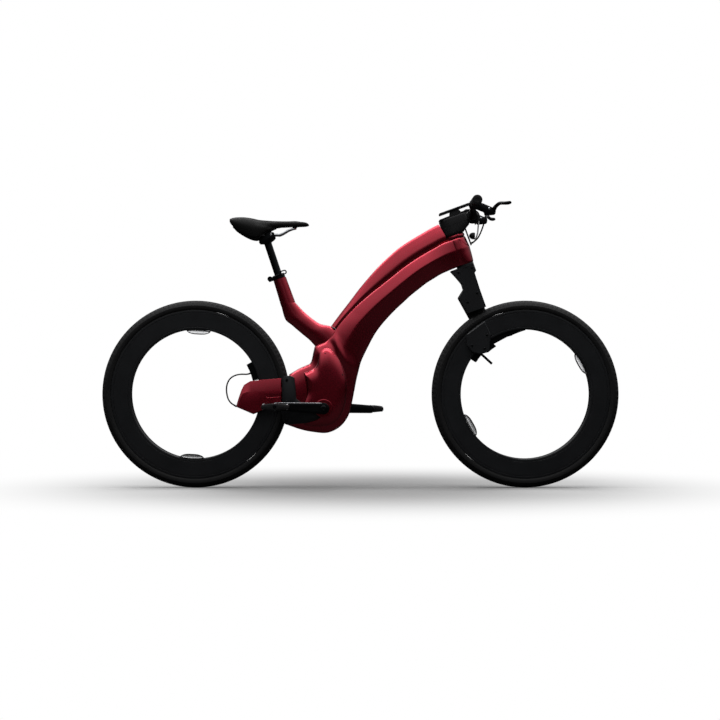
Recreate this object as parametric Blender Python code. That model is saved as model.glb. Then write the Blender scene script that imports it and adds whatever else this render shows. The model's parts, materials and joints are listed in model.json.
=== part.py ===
# Hubless electric bicycle, full size, in metres with +Z up.
# The bicycle points along +X and its right side faces -Y.
# Everything is drawn from the ground under the rear axle, then hung from the rider's seat point,
# which is the origin of the finished part.
import math

import bpy
import bmesh
from mathutils import Vector

# Wheels: a tyre on a rotating channel rim, which runs round a ring that stands still
TYRE_RADIUS = 0.340
TYRE_HALF_WIDTH = 0.030
TREAD_HALF_WIDTH = 0.0195
TYRE_HEIGHT = 0.0338
SHOULDER_DROP = 0.0165
BEAD_FLARE = 0.008
TREAD_DROP = 0.005
TREAD_FLAT = 0.006
TYRE_DRAFT = 0.001
RIM_HALF_WIDTH = 0.026
RIM_HEIGHT = 0.0712
FLANGE_THICKNESS = 0.006
RIM_WALL = 0.022
RIM_LIP = 0.003
RING_HALF_WIDTH = 0.0135
RING_INSET = 0.001
BEARING_GAP = 0.0008
REFLECTOR_LENGTH = 0.085
REFLECTOR_DEPTH = 0.019
REFLECTOR_PROUD = 0.001
REAR_REFLECTOR = 86.0
FRONT_REFLECTOR = 29.0
WHEEL_FACETS = 60
WHEEL_STEP = 360.0 / WHEEL_FACETS
RIM_RADIUS = TYRE_RADIUS - TYRE_HEIGHT
OPENING_RADIUS = RIM_RADIUS - RIM_HEIGHT

# Clearances, and how far cutters reach past what they cut
SEAT_GAP = 0.0003
RUNNING_GAP = 0.0004
MOVING_GAP = 0.005
COLLAR_GAP = 0.0015
CUT_REACH = 0.08

# Frame geometry, from the crank axis to the lower end of the head
CRANK_X = 0.466
CRANK_Z = 0.290
REACH = 0.5125
STACK = 0.521
HEAD_ANGLE = 20.0
HEAD_LENGTH = 0.0995
HEAD_RADIUS = 0.039
HEAD_START = -0.006
HEAD_WIDEN = 0.06
HEAD_TOP_MARGIN = 0.0015
HEAD_LOW_MARGIN = 0.002
FORK_RAKE = 0.0445
WHEEL_CLEARANCE = 0.0075
ARM_ROOT_DEPTH = 0.022
ARM_ROOT_WIDTH = 0.030
ARM_SEAT_PLAY = 0.1
ARM_FIRST, ARM_LAST, ARM_STEPS = -8.0, 9.5, 8
FRAME_HALF_WIDTH = 0.034
HOUSING_HALF_WIDTH = 0.036
RAIL_HALF_WIDTH = 0.0265
RAIL_TAPER = 0.007
RAIL_START = -0.012
COLLAR_CHAMFER = 0.0025
HEAD_BLEND = 0.34
CASING_BLEND = 0.2
MAST_HALF_WIDTH = 0.021
RAIL_END_UP = 0.170
FRAME_STEPS = 2

# Seat
MAST_TOP_X = 0.305
MAST_TOP_Z = 0.759
SEAT_ANGLE = 18.5
SEATPOST_RADIUS = 0.0136
SEATPOST_LENGTH = 0.140
SEATPOST_DEPTH = 0.150
POST_ROOM = 0.0113
MAST_TOP_UP = 0.001
CLAMP_RADIUS = 0.022
CLAMP_HEIGHT = 0.016
SADDLE_LENGTH = 0.287
SADDLE_WIDTH = 0.152
SADDLE_TOP_Z = 0.980
SADDLE_REAR_X = 0.1255
PAD_THICKNESS = 0.024
SHELL_WALL = 0.005
RAIL_SPACING = 0.044
LEVER_BOSS = (-0.0325, 0.0092)
LEVER_BOSS_RADIUS = 0.0095
LEVER_THICKNESS = 0.0055
LEVER_LOOP = (0.0205, 0.0165)
LEVER_LOOP_SIZE = (0.026, 0.017)
LEVER_LOOP_WIRE = 0.003
RAIL_RADIUS = 0.0035
RAIL_Z = 0.918
RIDER_X = 0.225

# Drive
MOTOR_RADIUS = 0.062
COVER_THICKNESS = 0.017
COVER_CENTRE_Z = 0.05
BOSS_RADIUS = 0.033
BOSS_HEIGHT = 0.006
SPINDLE_RADIUS = 0.011
CRANK_LENGTH = 0.170
CRANK_TILT = 2.5
CRANK_THICKNESS = 0.015
CRANK_HUB_RADIUS = 0.021
CRANK_END_RADIUS = 0.0145
PEDAL_GAP = 0.006
PIN_INSET = 0.004
PEDAL_LENGTH = 0.096
PEDAL_WIDTH = 0.085
PEDAL_THICKNESS = 0.024
PEDAL_WALL = 0.011
PEDAL_SPINE = 0.014
PEDAL_PIN_RADIUS = 0.006

# Steering and cockpit, measured along the steering axis from the lower end of the head
STEERER_RADIUS = 0.0155
CONSOLE_HALF_WIDTH = 0.037
CONSOLE_BOTTOM = 0.113
CONSOLE_NOSE_UP = 0.132
CONSOLE_TOP = 0.178
BAR_CENTRE = 0.154
BAR_RADIUS = 0.0159
BAR_END_RADIUS = 0.0111
BAR_HALF_WIDTH = 0.335
BAR_THICK = 0.045
CLAMP_WALL = 0.008
CLAMP_HALF_WIDTH = 0.022
NOSE_CORNER = 0.011
BAR_RISE = 0.028
BAR_FORWARD = 0.087
GRIP_RADIUS = 0.0175
GRIP_LENGTH = 0.125
GRIP_CAP = 0.004
LEVER_CLAMP_WALL = 0.0065
LEVER_NEAR = 0.050
LEVER_FAR = 0.014
DISPLAY_LENGTH = 0.121
DISPLAY_HALF_WIDTH = 0.036
DISPLAY_THICKNESS = 0.0065
DISPLAY_REAR = -0.026
DISPLAY_EDGE = 0.0015
DISPLAY_CORNER = 0.009
DOCK_HEIGHT = 0.020
DOCK_PLATE = 0.005
DOCK_HALF_WIDTH = 0.030
LAMP_RADIUS = 0.0125
LAMP_LENGTH = 0.023
LAMP_STAY = 0.0442
STAY_THICKNESS = 0.0038
STAY_HALF_WIDTH = 0.009
STAY_FOOT = 0.007
STAY_ROOT = 0.003
LAMP_UP = 0.0935
HOSE_END_UP = 0.0655
STEERER_GRIP = 0.030
CROWN_HALF_WIDTH = 0.030
SHOE_DEPTH = 0.017
WEB_DEPTH = 0.031
SHOE_LEFT_FROM = 102.0
WEB_FROM = 122.0
LEG_INNER = 0.038
LEG_THICKNESS = 0.022
ARM_THICKNESS = 0.018
COVER_INNER = 0.0363
SHELL_THICKNESS = 0.011
SHELL_EDGE = 0.003
BRACKET_DEPTH = 0.058
TONGUE_DEPTH = 0.030
CALIPER_DEPTH = 0.022
CALIPER_RISE = 0.020
SLOT_GAP = 0.0015
REAR_CALIPER = (13.0, 30.0)
FRONT_CALIPER = (131.5, 147.0)
STUB_ANGLE = 137.5
STUB_REACH = 0.072
STUB_HALF_WIDTH = 0.0042
HOSE_RADIUS = 0.0025

# Frame lines in shares of the reach and the stack, from the crank axis, listed from the head down.
# The groove runs between the top rail and the body, the belly is the body's lower edge.
GROOVE = [(0.847, 1.148), (0.784, 1.115), (0.718, 1.081), (0.642, 1.035), (0.564, 0.981),
          (0.488, 0.921), (0.412, 0.862), (0.340, 0.806), (0.269, 0.747), (0.195, 0.678),
          (0.133, 0.614), (0.088, 0.557), (0.055, 0.505)]
BELLY = [(0.898, 0.964), (0.833, 0.935), (0.781, 0.904), (0.726, 0.870), (0.673, 0.829),
         (0.619, 0.787), (0.564, 0.737), (0.509, 0.687), (0.457, 0.634), (0.406, 0.576),
         (0.359, 0.511), (0.308, 0.417), (0.265, 0.326)]
RAIL_TOP = [(0.802, 1.275), (0.745, 1.246), (0.681, 1.209), (0.609, 1.167), (0.531, 1.115),
            (0.461, 1.056), (0.386, 0.985), (0.314, 0.906), (0.246, 0.825), (0.174, 0.731),
            (0.109, 0.649), (0.066, 0.591), (0.035, 0.549)]

# Drive housing: upper and rear edge, and the belly below it, in the same shares
HOUSING_UPPER = [(0.008, 0.461), (-0.057, 0.436), (-0.072, 0.399), (-0.092, 0.319), (-0.129, 0.296),
                 (-0.166, 0.280), (-0.207, 0.257), (-0.250, 0.230), (-0.293, 0.192), (-0.332, 0.115)]
HOUSING_BELLY = [(0.246, 0.259), (0.230, 0.194), (0.213, 0.106), (0.195, 0.019), (0.170, -0.061),
                 (0.113, -0.132), (0.027, -0.173), (-0.070, -0.169), (-0.166, -0.150), (-0.269, -0.115)]

# Seat mast from its top down into the housing: front edge and rear edge, from the crank axis
MAST_FRONT = [(-0.105, 0.384), (-0.076, 0.353), (-0.047, 0.328), (-0.014, 0.306), (0.026, 0.296),
              (0.070, 0.270)]
MAST_REAR = [(-0.156, 0.375), (-0.141, 0.323), (-0.116, 0.300), (-0.081, 0.270), (-0.046, 0.240),
             (-0.005, 0.190)]
# Covers and arm beside the rear wheel, seen from the right: from the rear axle, in shares of the tyre's radius
TAIL_COVER = [(0.438, -0.132), (0.465, -0.044), (0.494, 0.041), (0.524, 0.100), (0.588, 0.140), (0.735, 0.156),
              (0.918, 0.171), (0.929, 0.044), (0.928, -0.082), (0.771, -0.153), (0.624, -0.212)]
REAR_BRACKET = [(0.482, -0.112), (0.502, 0.020), (0.540, 0.076), (0.602, 0.112), (0.630, 0.115), (0.630, -0.168),
                (0.600, -0.160)]
RIGHT_ARM = [(0.9305, 0.168), (0.960, 0.193), (1.010, 0.200), (1.058, 0.180), (1.072, 0.060), (1.078, -0.045),
             (1.130, -0.082), (1.300, -0.096), (1.372, -0.125), (1.372, -0.212), (1.300, -0.272), (1.180, -0.306),
             (1.050, -0.318), (0.965, -0.322), (0.930, -0.270), (0.915, -0.150), (0.9305, -0.086)]
# Console's levels: height, share of the half width, place of the front end
CONSOLE_LEVELS = [(CONSOLE_BOTTOM, 0.92, 0.036), (CONSOLE_BOTTOM + 0.005, 1.0, 0.041), (CONSOLE_NOSE_UP, 1.0, 0.064),
                  (CONSOLE_TOP - 0.006, 1.0, 0.066), (CONSOLE_TOP, 0.94, 0.062)]
# Lever from the bar's axis: its body's outline, then the blade as place across from the grip's inner
# end, forward, up, width, height
LEVER_BODY = [(0.002, 0.013), (0.030, -0.008), (0.060, -0.036), (0.065, -0.046), (0.058, -0.059), (0.023, -0.050),
              (0.024, -0.037), (-0.004, -0.013)]
LEVER_BLADE = [(-0.028, 0.054, -0.045, 0.015, 0.015), (-0.005, 0.066, -0.035, 0.013, 0.013),
               (0.025, 0.078, -0.031, 0.012, 0.012), (0.065, 0.088, -0.031, 0.012, 0.012),
               (0.090, 0.101, -0.033, 0.013, 0.012), (0.098, 0.112, -0.035, 0.010, 0.011)]
# Brake hose: start from the bar's axis, then forward, share of the lever's place across, up
HOSE_START = (0.031, -0.043)
HOSE_ROUTE = [(0.1150, 0.78, 0.1270), (0.1030, 0.55, 0.1070), (0.0910, 0.33, 0.0900), (0.0765, 0.15, 0.0750)]
HOSE_APART = 0.006
# Saddle's stations from the tail to the nose: place along it, half width, top and lower edge below its highest line
SADDLE_STATIONS = [(0.000, 0.050, 0.002, 0.019), (0.018, 0.066, 0.000, 0.042), (0.052, 0.075, 0.000, 0.064),
                   (0.082, 0.073, 0.004, 0.076), (0.106, 0.064, 0.009, 0.074), (0.136, 0.048, 0.011, 0.052),
                   (0.166, 0.034, 0.012, 0.037), (0.210, 0.024, 0.012, 0.033), (0.256, 0.019, 0.012, 0.032),
                   (0.278, 0.014, 0.015, 0.031), (0.287, 0.006, 0.022, 0.029)]
SHELL_FROM, SHELL_TO = 0.010, 0.262
# Saddle rail on one side: place along the ground, inward from the rail's line, height over it
SADDLE_RAIL = [(0.158, -0.003, 0.0265), (0.172, -0.002, 0.014), (0.196, 0.0, 0.002), (0.210, 0.0, 0.0),
               (0.230, 0.0, 0.0), (0.294, 0.0, 0.0), (0.305, 0.0, 0.0), (0.319, 0.002, 0.006), (0.336, 0.006, 0.016),
               (0.354, 0.011, 0.0225), (0.362, 0.018, 0.0235)]
# Rear hose from the caliper round to the bracket: x and z in shares of the tyre's radius
REAR_HOSE = [(0.5835, 0.0, 0.2229), (0.547, -0.001, 0.2124), (0.479, -0.014, 0.212), (0.418, -0.024, 0.197),
             (0.371, -0.034, 0.162), (0.344, -0.040, 0.106), (0.338, -0.0418, 0.035), (0.353, -0.0418, -0.041),
             (0.382, -0.0418, -0.088), (0.4212, -0.0418, -0.1162)]
# Front shoe's swelling under the ring: angle, depth below the opening's edge
SHOE_SWELL = [(90.0, 0.003), (95.0, 0.0085), (100.0, 0.0135), (105.0, 0.0165), (110.0, 0.017), (120.0, 0.017),
              (130.0, 0.017)]
FRONT_BOOT = [(-0.632, 0.638), (-0.632, 0.515), (-0.576, 0.447), (-0.494, 0.424), (-0.391, 0.450), (-0.385, 0.535),
              (-0.376, 0.632), (-0.441, 0.782)]
# Fork: crown and top of the leg from the head's lower end, foot of the leg from the front axle
CROWN = [(-0.058, -0.0055), (0.029, -0.0055), (0.029, -0.035), (0.021, -0.041), (0.0185, -0.099), (0.018, -0.170),
         (-0.050, -0.170), (-0.062, -0.106), (-0.047, -0.094), (-0.037, -0.083), (-0.036, -0.062), (-0.046, -0.034)]
CROWN_SHOULDER = [(0.018, -0.080), (0.0175, -0.165), (-0.049, -0.165), (-0.061, -0.106), (-0.045, -0.092)]
LEG_TOP = [(0.0182, -0.177), (0.0185, -0.083), (-0.019, -0.070), (-0.0635, -0.105)]
LEG_FOOT = [(-0.580, 0.790), (-0.598, 0.676), (-0.409, 0.490), (-0.162, 0.622), (-0.250, 0.735)]
# Drive cover's outline from the crank axis, then its dome: share of the thickness, share of the outline
COVER_OUTLINE = [(-0.072, 0.128), (-0.030, 0.150), (-0.012, 0.205), (0.020, 0.215), (0.060, 0.170),
                 (0.082, 0.100), (0.080, 0.030), (0.066, -0.020), (0.035, -0.055), (-0.020, -0.066),
                 (-0.075, -0.056), (-0.080, 0.000), (-0.062, 0.060)]
COVER_LEVELS = [(0.0, 1.0), (0.12, 0.985), (0.45, 0.93), (0.75, 0.84), (0.93, 0.72), (1.0, 0.56)]
# Depth of the mast down from its mouth, before those edges begin
MAST_DEPTHS = [(0.0, 0.047), (0.050, 0.050), (0.095, 0.053)]

# Half sections of head, beam, casing, rail and mast: share of the way from the upper to the lower edge, share of the half width
HEAD_SECTION = [(0.0, 0.86), (0.035, 0.92), (0.20, 0.965), (0.42, 1.0), (0.52, 0.985), (0.80, 0.93),
                (0.95, 0.88), (1.0, 0.82)]
BEAM_SECTION = [(0.0, 0.55), (0.035, 0.78), (0.20, 0.93), (0.42, 1.0), (0.52, 0.97), (0.80, 0.66),
                (0.95, 0.46), (1.0, 0.28)]
CASING_SECTION = [(0.0, 0.50), (0.035, 0.76), (0.20, 0.95), (0.42, 1.0), (0.55, 0.99), (0.78, 0.86),
                  (0.94, 0.62), (1.0, 0.30)]
RAIL_SECTION = [(0.0, 0.42), (0.06, 0.72), (0.22, 0.95), (0.55, 1.0), (0.86, 0.96), (1.0, 0.68)]
PLAIN_SECTION = [(0.0, 1.0), (1.0, 1.0)]
MAST_SECTION = [(0.0, 0.45), (0.10, 0.80), (0.28, 1.0), (0.72, 1.0), (0.90, 0.80), (1.0, 0.45)]

RED_PAINT = ((0.29, 0.010, 0.030), 0.26, 0.55)
BLACK_PAINT = ((0.012, 0.013, 0.015), 0.38, 0.2)
BLACK_PLASTIC = ((0.016, 0.017, 0.019), 0.55, 0.0)
BLACK_ALUMINIUM = ((0.030, 0.031, 0.034), 0.35, 0.9)
BRIGHT_ALUMINIUM = ((0.60, 0.61, 0.63), 0.28, 1.0)
TYRE_RUBBER = ((0.012, 0.012, 0.013), 0.75, 0.0)
GRIP_RUBBER = ((0.018, 0.018, 0.019), 0.7, 0.0)
SADDLE_SKIN = ((0.017, 0.016, 0.016), 0.5, 0.0)
GLASS = ((0.02, 0.022, 0.026), 0.08, 0.0)
REFLECTOR_LENS = ((0.86, 0.87, 0.88), 0.25, 0.0)


def clear_scene():
    for old in list(bpy.data.objects):
        bpy.data.objects.remove(old, do_unlink=True)


def finish_material(name, finish):
    colour, roughness, metallic = finish
    material = bpy.data.materials.new(name)
    material.use_nodes = True
    shader = material.node_tree.nodes["Principled BSDF"]
    shader.inputs["Base Color"].default_value = (*colour, 1.0)
    shader.inputs["Roughness"].default_value = roughness
    shader.inputs["Metallic"].default_value = metallic
    return material


def empty(name, location, parent=None, tilt=0.0):
    helper = bpy.data.objects.new(name, None)
    bpy.context.scene.collection.objects.link(helper)
    helper.location = location
    helper.rotation_euler = (0.0, tilt, 0.0)
    helper.parent = parent
    return helper


def new_object(name, bm, parent, finish=None, sharp=35.0):
    bmesh.ops.recalc_face_normals(bm, faces=bm.faces)
    mesh = bpy.data.meshes.new(name)
    bm.to_mesh(mesh)
    bm.free()
    mesh.shade_smooth()
    mesh.set_sharp_from_angle(angle=math.radians(sharp))
    piece = bpy.data.objects.new(name, mesh)
    bpy.context.scene.collection.objects.link(piece)
    piece.parent = parent
    if finish:
        mesh.materials.append(finish_material(name, finish))
    else:
        piece.hide_render = True
        piece.display_type = "WIRE"
    return piece


def boolean(piece, operation, other):
    modifier = piece.modifiers.new(operation.lower(), "BOOLEAN")
    modifier.operation = operation
    modifier.solver = "EXACT"
    modifier.object = other
    return piece


def round_edges(piece, width, segments=1, angle=40.0):
    modifier = piece.modifiers.new("edge", "BEVEL")
    modifier.width = width
    modifier.segments = segments
    modifier.limit_method = "ANGLE"
    modifier.angle_limit = math.radians(angle)
    return piece


def skin(loops, wrap=False, open_loops=False, split=False):
    # Closed body through loops of points; the ends get flat caps unless the loops wrap round.
    # Split faces lie the same way on two shapes that follow each other.
    bm = bmesh.new()
    rows = [[bm.verts.new(point) for point in loop] for loop in loops]
    last = len(rows) if wrap else len(rows) - 1
    for index in range(last):
        here, there = rows[index], rows[(index + 1) % len(rows)]
        for k in range(len(here) - 1 if open_loops else len(here)):
            n = (k + 1) % len(here)
            if split:
                bm.faces.new((here[k], here[n], there[n]))
                bm.faces.new((here[k], there[n], there[k]))
            else:
                bm.faces.new((here[k], here[n], there[n], there[k]))
    if not wrap:
        bm.faces.new(rows[0][::-1])
        bm.faces.new(rows[-1])
    return bm


def spun(profile, facets, axis="Y"):
    # Full turn of a closed (radius, along) profile about Y, Z or X
    loops = []
    for step in range(facets):
        angle = 2.0 * math.pi * step / facets
        c, s = math.cos(angle), math.sin(angle)
        if axis == "Y":
            loops.append([(r * c, along, r * s) for r, along in profile])
        elif axis == "Z":
            loops.append([(r * c, r * s, along) for r, along in profile])
        else:
            loops.append([(along, r * c, r * s) for r, along in profile])
    touches_axis = profile[0][0] == 0.0 and profile[-1][0] == 0.0
    bm = skin(loops, wrap=True, open_loops=touches_axis)
    bmesh.ops.remove_doubles(bm, verts=bm.verts, dist=1e-6)
    bmesh.ops.dissolve_degenerate(bm, dist=1e-6, edges=bm.edges)
    return bm


def rod(radius, low, high, facets, axis="Y", chamfer=0.0):
    # Solid turned bar between two places along its axis
    edge = chamfer if chamfer else 0.0
    profile = [(0.0, low), (radius - edge, low)]
    if edge:
        profile += [(radius, low + edge), (radius, high - edge)]
    profile += [(radius - edge, high), (0.0, high)]
    return spun(profile, facets, axis)


def slab(outline, low, high):
    # Flat plate: an outline of (x, z) points, between two places along Y
    return skin([[(x, low, z) for x, z in outline], [(x, high, z) for x, z in outline]])


def sector(inner, outer, first, last, steps):
    # Outline of a piece of a ring, angles in degrees
    angles = [math.radians(first + (last - first) * i / steps) for i in range(steps + 1)]
    points = [(outer * math.cos(a), outer * math.sin(a)) for a in angles]
    points += [(inner * math.cos(a), inner * math.sin(a)) for a in reversed(angles)]
    return points


def smooth_rows(rows, steps):
    # Catmull-Rom curve through rows of numbers
    dense = []
    for index in range(len(rows) - 1):
        before = rows[max(index - 1, 0)]
        here, there = rows[index], rows[index + 1]
        after = rows[min(index + 2, len(rows) - 1)]
        for step in range(steps):
            t = step / steps
            dense.append([0.5 * (2 * b + (c - a) * t + (2 * a - 5 * b + 4 * c - d) * t * t
                                 + (3 * b - a - 3 * c + d) * t ** 3)
                          for a, b, c, d in zip(before, here, there, after)])
    dense.append(list(rows[-1]))
    return dense


def ribbon(rows, sections):
    # Rows are (upper x, z, lower x, z, half width, place in the list of sections); a section lists
    # (share from upper to lower, share of the half width) down one side
    loops = []
    for ux, uz, lx, lz, half, place in rows:
        first = min(int(place), len(sections) - 1)
        second = min(first + 1, len(sections) - 1)
        side = []
        for (t, w), (t2, w2) in zip(sections[first], sections[second]):
            t, w = t + (t2 - t) * (place - first), w + (w2 - w) * (place - first)
            side.append((ux + (lx - ux) * t, half * w, uz + (lz - uz) * t))
        loops.append([(x, -y, z) for x, y, z in side] + [(x, y, z) for x, y, z in reversed(side)])
    return skin(loops)


def grow_outline(outline, by):
    # Moves each side of a closed outline outward by the same distance
    area = sum(a[0] * b[1] - b[0] * a[1] for a, b in zip(outline, outline[1:] + outline[:1]))
    turn = by if area > 0.0 else -by
    grown = []
    for before, here, after in zip(outline[-1:] + outline[:-1], outline, outline[1:] + outline[:1]):
        first = Vector((here[0] - before[0], here[1] - before[1])).normalized()
        second = Vector((after[0] - here[0], after[1] - here[1])).normalized()
        normal = Vector((first.y + second.y, -first.x - second.x))
        normal *= turn / max(0.5 * normal.length_squared, 1e-6)
        grown.append((here[0] + normal.x, here[1] + normal.y))
    return grown


def scaled(outline, size):
    return [(x * size, z * size) for x, z in outline]


def by_frame(u, v):
    return CRANK_X + u * REACH, CRANK_Z + v * STACK


def by_crank(dx, dz):
    return CRANK_X + dx, CRANK_Z + dz


def cable(name, points, radius, parent, finish, steps=3):
    # Round hose along a smooth curve through the given points
    dense = smooth_rows([list(p) for p in points], steps)
    data = bpy.data.curves.new(name, "CURVE")
    data.dimensions = "3D"
    data.bevel_depth = radius
    data.bevel_resolution = 2
    data.use_fill_caps = True
    spline = data.splines.new("POLY")
    spline.points.add(len(dense) - 1)
    for target, point in zip(spline.points, dense):
        target.co = (*point, 1.0)
    data.materials.append(finish_material(name, finish))
    piece = bpy.data.objects.new(name, data)
    bpy.context.scene.collection.objects.link(piece)
    piece.parent = parent
    return piece


def wheel(prefix, axle):
    side = TYRE_RADIUS - SHOULDER_DROP
    bead = RIM_RADIUS + SEAT_GAP
    half = [(bead, -RIM_HALF_WIDTH), (bead + BEAD_FLARE, -TYRE_HALF_WIDTH), (side, -TYRE_HALF_WIDTH + TYRE_DRAFT),
            (TYRE_RADIUS - TREAD_DROP, -TREAD_HALF_WIDTH), (TYRE_RADIUS, -TREAD_FLAT)]
    profile = half + [(r, -y) for r, y in reversed(half)]
    new_object(prefix + "_tyre", spun(profile, WHEEL_FACETS), axle, TYRE_RUBBER, sharp=25.0)

    drum = RIM_RADIUS - RIM_WALL
    inner = RIM_HALF_WIDTH - FLANGE_THICKNESS
    half = [(OPENING_RADIUS, inner), (OPENING_RADIUS, RIM_HALF_WIDTH - RIM_LIP),
            (OPENING_RADIUS + RIM_LIP, RIM_HALF_WIDTH), (RIM_RADIUS, RIM_HALF_WIDTH)]
    profile = [(drum, inner)] + half + [(r, -y) for r, y in reversed(half)] + [(drum, -inner)]
    new_object(prefix + "_rim", spun(profile, WHEEL_FACETS), axle, BLACK_PAINT, sharp=25.0)


def reflectors(prefix, axle, angle):
    # Two lenses on the right flange's inner edge, half a turn apart
    arc = math.degrees(REFLECTOR_LENGTH / OPENING_RADIUS)
    outer = OPENING_RADIUS - SEAT_GAP
    steps = round(arc / WHEEL_STEP)
    for label, turn in (("a", 0.0), ("b", 180.0)):
        first = round((angle + turn - 0.5 * steps * WHEEL_STEP) / WHEEL_STEP) * WHEEL_STEP
        outline = []
        for i in [*range(steps + 1), *range(steps, -1, -1)]:
            a = math.radians(first + i * WHEEL_STEP)
            depth = 0.0
            if len(outline) > steps:
                depth = REFLECTOR_DEPTH * max(1.0 - abs(2.0 * i / steps - 1.0) ** 3, 0.25)
            outline.append(((outer - depth) * math.cos(a), (outer - depth) * math.sin(a)))
        bm = slab(outline, -RIM_HALF_WIDTH - REFLECTOR_PROUD, -RIM_HALF_WIDTH + FLANGE_THICKNESS)
        new_object(f"{prefix}_reflector_{label}", bm, axle, REFLECTOR_LENS)


def carrier_ring(prefix, parent):
    # The ring that stands still inside the rim and carries it on its outer face
    top = RIM_RADIUS - RIM_WALL - BEARING_GAP
    inner = OPENING_RADIUS + RING_INSET
    half = [(inner, RING_HALF_WIDTH), (top, RING_HALF_WIDTH)]
    profile = half + [(r, -y) for r, y in reversed(half)]
    new_object(prefix + "_carrier_ring", spun(profile, WHEEL_FACETS), parent, BLACK_ALUMINIUM)
    return inner * math.cos(math.pi / WHEEL_FACETS) - SEAT_GAP


def main_frame():
    body = new_object("main_frame", ribbon(body_rows(), [HEAD_SECTION, BEAM_SECTION, CASING_SECTION]), GROUND,
                      RED_PAINT)
    # Round head that carries the body's facets on round its front
    top, low = HEAD_LENGTH, 0.0
    profile = [(0.0, top)] + [(HEAD_RADIUS * w, top + (low - top) * t) for t, w in HEAD_SECTION] + [(0.0, low)]
    boolean(body, "UNION", new_object("head_shape", spun(profile, 32, "Z"), STEERING))
    boolean(body, "UNION", new_object("mast_shape", mast(0.0), GROUND))

    # The wheel's clearance with the arm's seat behind it, the motor's pocket and the bores
    reach = TYRE_RADIUS + WHEEL_CLEARANCE
    space = rod(reach, -CUT_REACH, CUT_REACH, 96)
    boolean(body, "DIFFERENCE", new_object("wheel_space", space, REAR_AXLE))
    seat_room = sector(reach - ARM_ROOT_DEPTH, reach + ARM_ROOT_DEPTH, ARM_FIRST - ARM_SEAT_PLAY,
                       ARM_LAST + ARM_SEAT_PLAY, ARM_STEPS)
    boolean(body, "DIFFERENCE", new_object("arm_seat", slab(seat_room, -CUT_REACH, CUT_REACH), REAR_AXLE))
    pocket = rod(MOTOR_RADIUS, -CUT_REACH, CUT_REACH, 40)
    boolean(body, "DIFFERENCE", new_object("motor_pocket", pocket, CRANK_AXIS))
    bore = rod(STEERER_RADIUS + RUNNING_GAP, -CUT_REACH, HEAD_LENGTH + CUT_REACH, 30, "Z")
    boolean(body, "DIFFERENCE", new_object("head_bore", bore, STEERING))
    bore = rod(SEATPOST_RADIUS + SEAT_GAP, -SEATPOST_DEPTH - POST_ROOM, CUT_REACH, 24, "Z")
    boolean(body, "DIFFERENCE", new_object("seat_bore", bore, SEAT_TUBE))


def by_head(forward, up):
    tilt = math.radians(HEAD_ANGLE)
    x, z = by_frame(1.0, 1.0)
    return (x + forward * math.cos(tilt) - up * math.sin(tilt), z + forward * math.sin(tilt) + up * math.cos(tilt))


def fork_drop():
    # How far the front axle lies below the head's lower end, so that both wheels stand on the ground
    tilt = math.radians(HEAD_ANGLE)
    return (by_frame(1.0, 1.0)[1] - TYRE_RADIUS + FORK_RAKE * math.sin(tilt)) / math.cos(tilt)


def from_axle(x, z):
    # A place beside the front axle, in the steering axis's own directions
    tilt = math.radians(HEAD_ANGLE)
    return (FORK_RAKE + x * math.cos(tilt) + z * math.sin(tilt), -fork_drop() - x * math.sin(tilt) + z * math.cos(tilt))


def mast(grow, back=0.0, section=MAST_SECTION):
    # Seat mast from its mouth down into the housing, grown on all sides by a clearance and
    # stretched backward for a cutter
    tilt = math.radians(SEAT_ANGLE)
    rows = []
    for down, depth in MAST_DEPTHS:
        x = MAST_TOP_X + down * math.sin(tilt)
        z = MAST_TOP_Z - down * math.cos(tilt)
        off_x, off_z = 0.5 * depth * math.cos(tilt), 0.5 * depth * math.sin(tilt)
        rows.append([x + off_x, z + off_z, x - off_x, z - off_z])
    for front, rear in zip(MAST_FRONT, MAST_REAR):
        rows.append([*by_crank(*front), *by_crank(*rear)])
    grown = []
    for fx, fz, rx, rz in rows:
        out = Vector((fx - rx, fz - rz)).normalized()
        ahead, behind = out * grow, out * (grow + back)
        grown.append([fx + ahead.x, fz + ahead.y, rx - behind.x, rz - behind.y, MAST_HALF_WIDTH + grow, 0.0])
    return ribbon(smooth_rows(grown, FRAME_STEPS), [section])


def body_rows():
    # Upper edge, belly, half width and section of the frame's body, from the head to the rear wheel
    rows = [[*by_head(HEAD_START, HEAD_LENGTH - HEAD_TOP_MARGIN), *by_head(HEAD_START, HEAD_LOW_MARGIN),
             FRAME_HALF_WIDTH * (1.0 + HEAD_WIDEN), 0.0]]
    last = len(GROOVE) - 1
    for index in range(last + 1):
        width = FRAME_HALF_WIDTH * (1.0 + HEAD_WIDEN * (1.0 - index / last))
        place = min(1.0, HEAD_BLEND * (index + 1)) + max(0.0, CASING_BLEND * (index - last + 3))
        rows.append([*by_frame(*GROOVE[index]), *by_frame(*BELLY[index]), width, place])
    for upper, lower in zip(HOUSING_UPPER, HOUSING_BELLY):
        rows.append([*by_frame(*upper), *by_frame(*lower), HOUSING_HALF_WIDTH, 2.0])
    return smooth_rows(rows, FRAME_STEPS)


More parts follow.
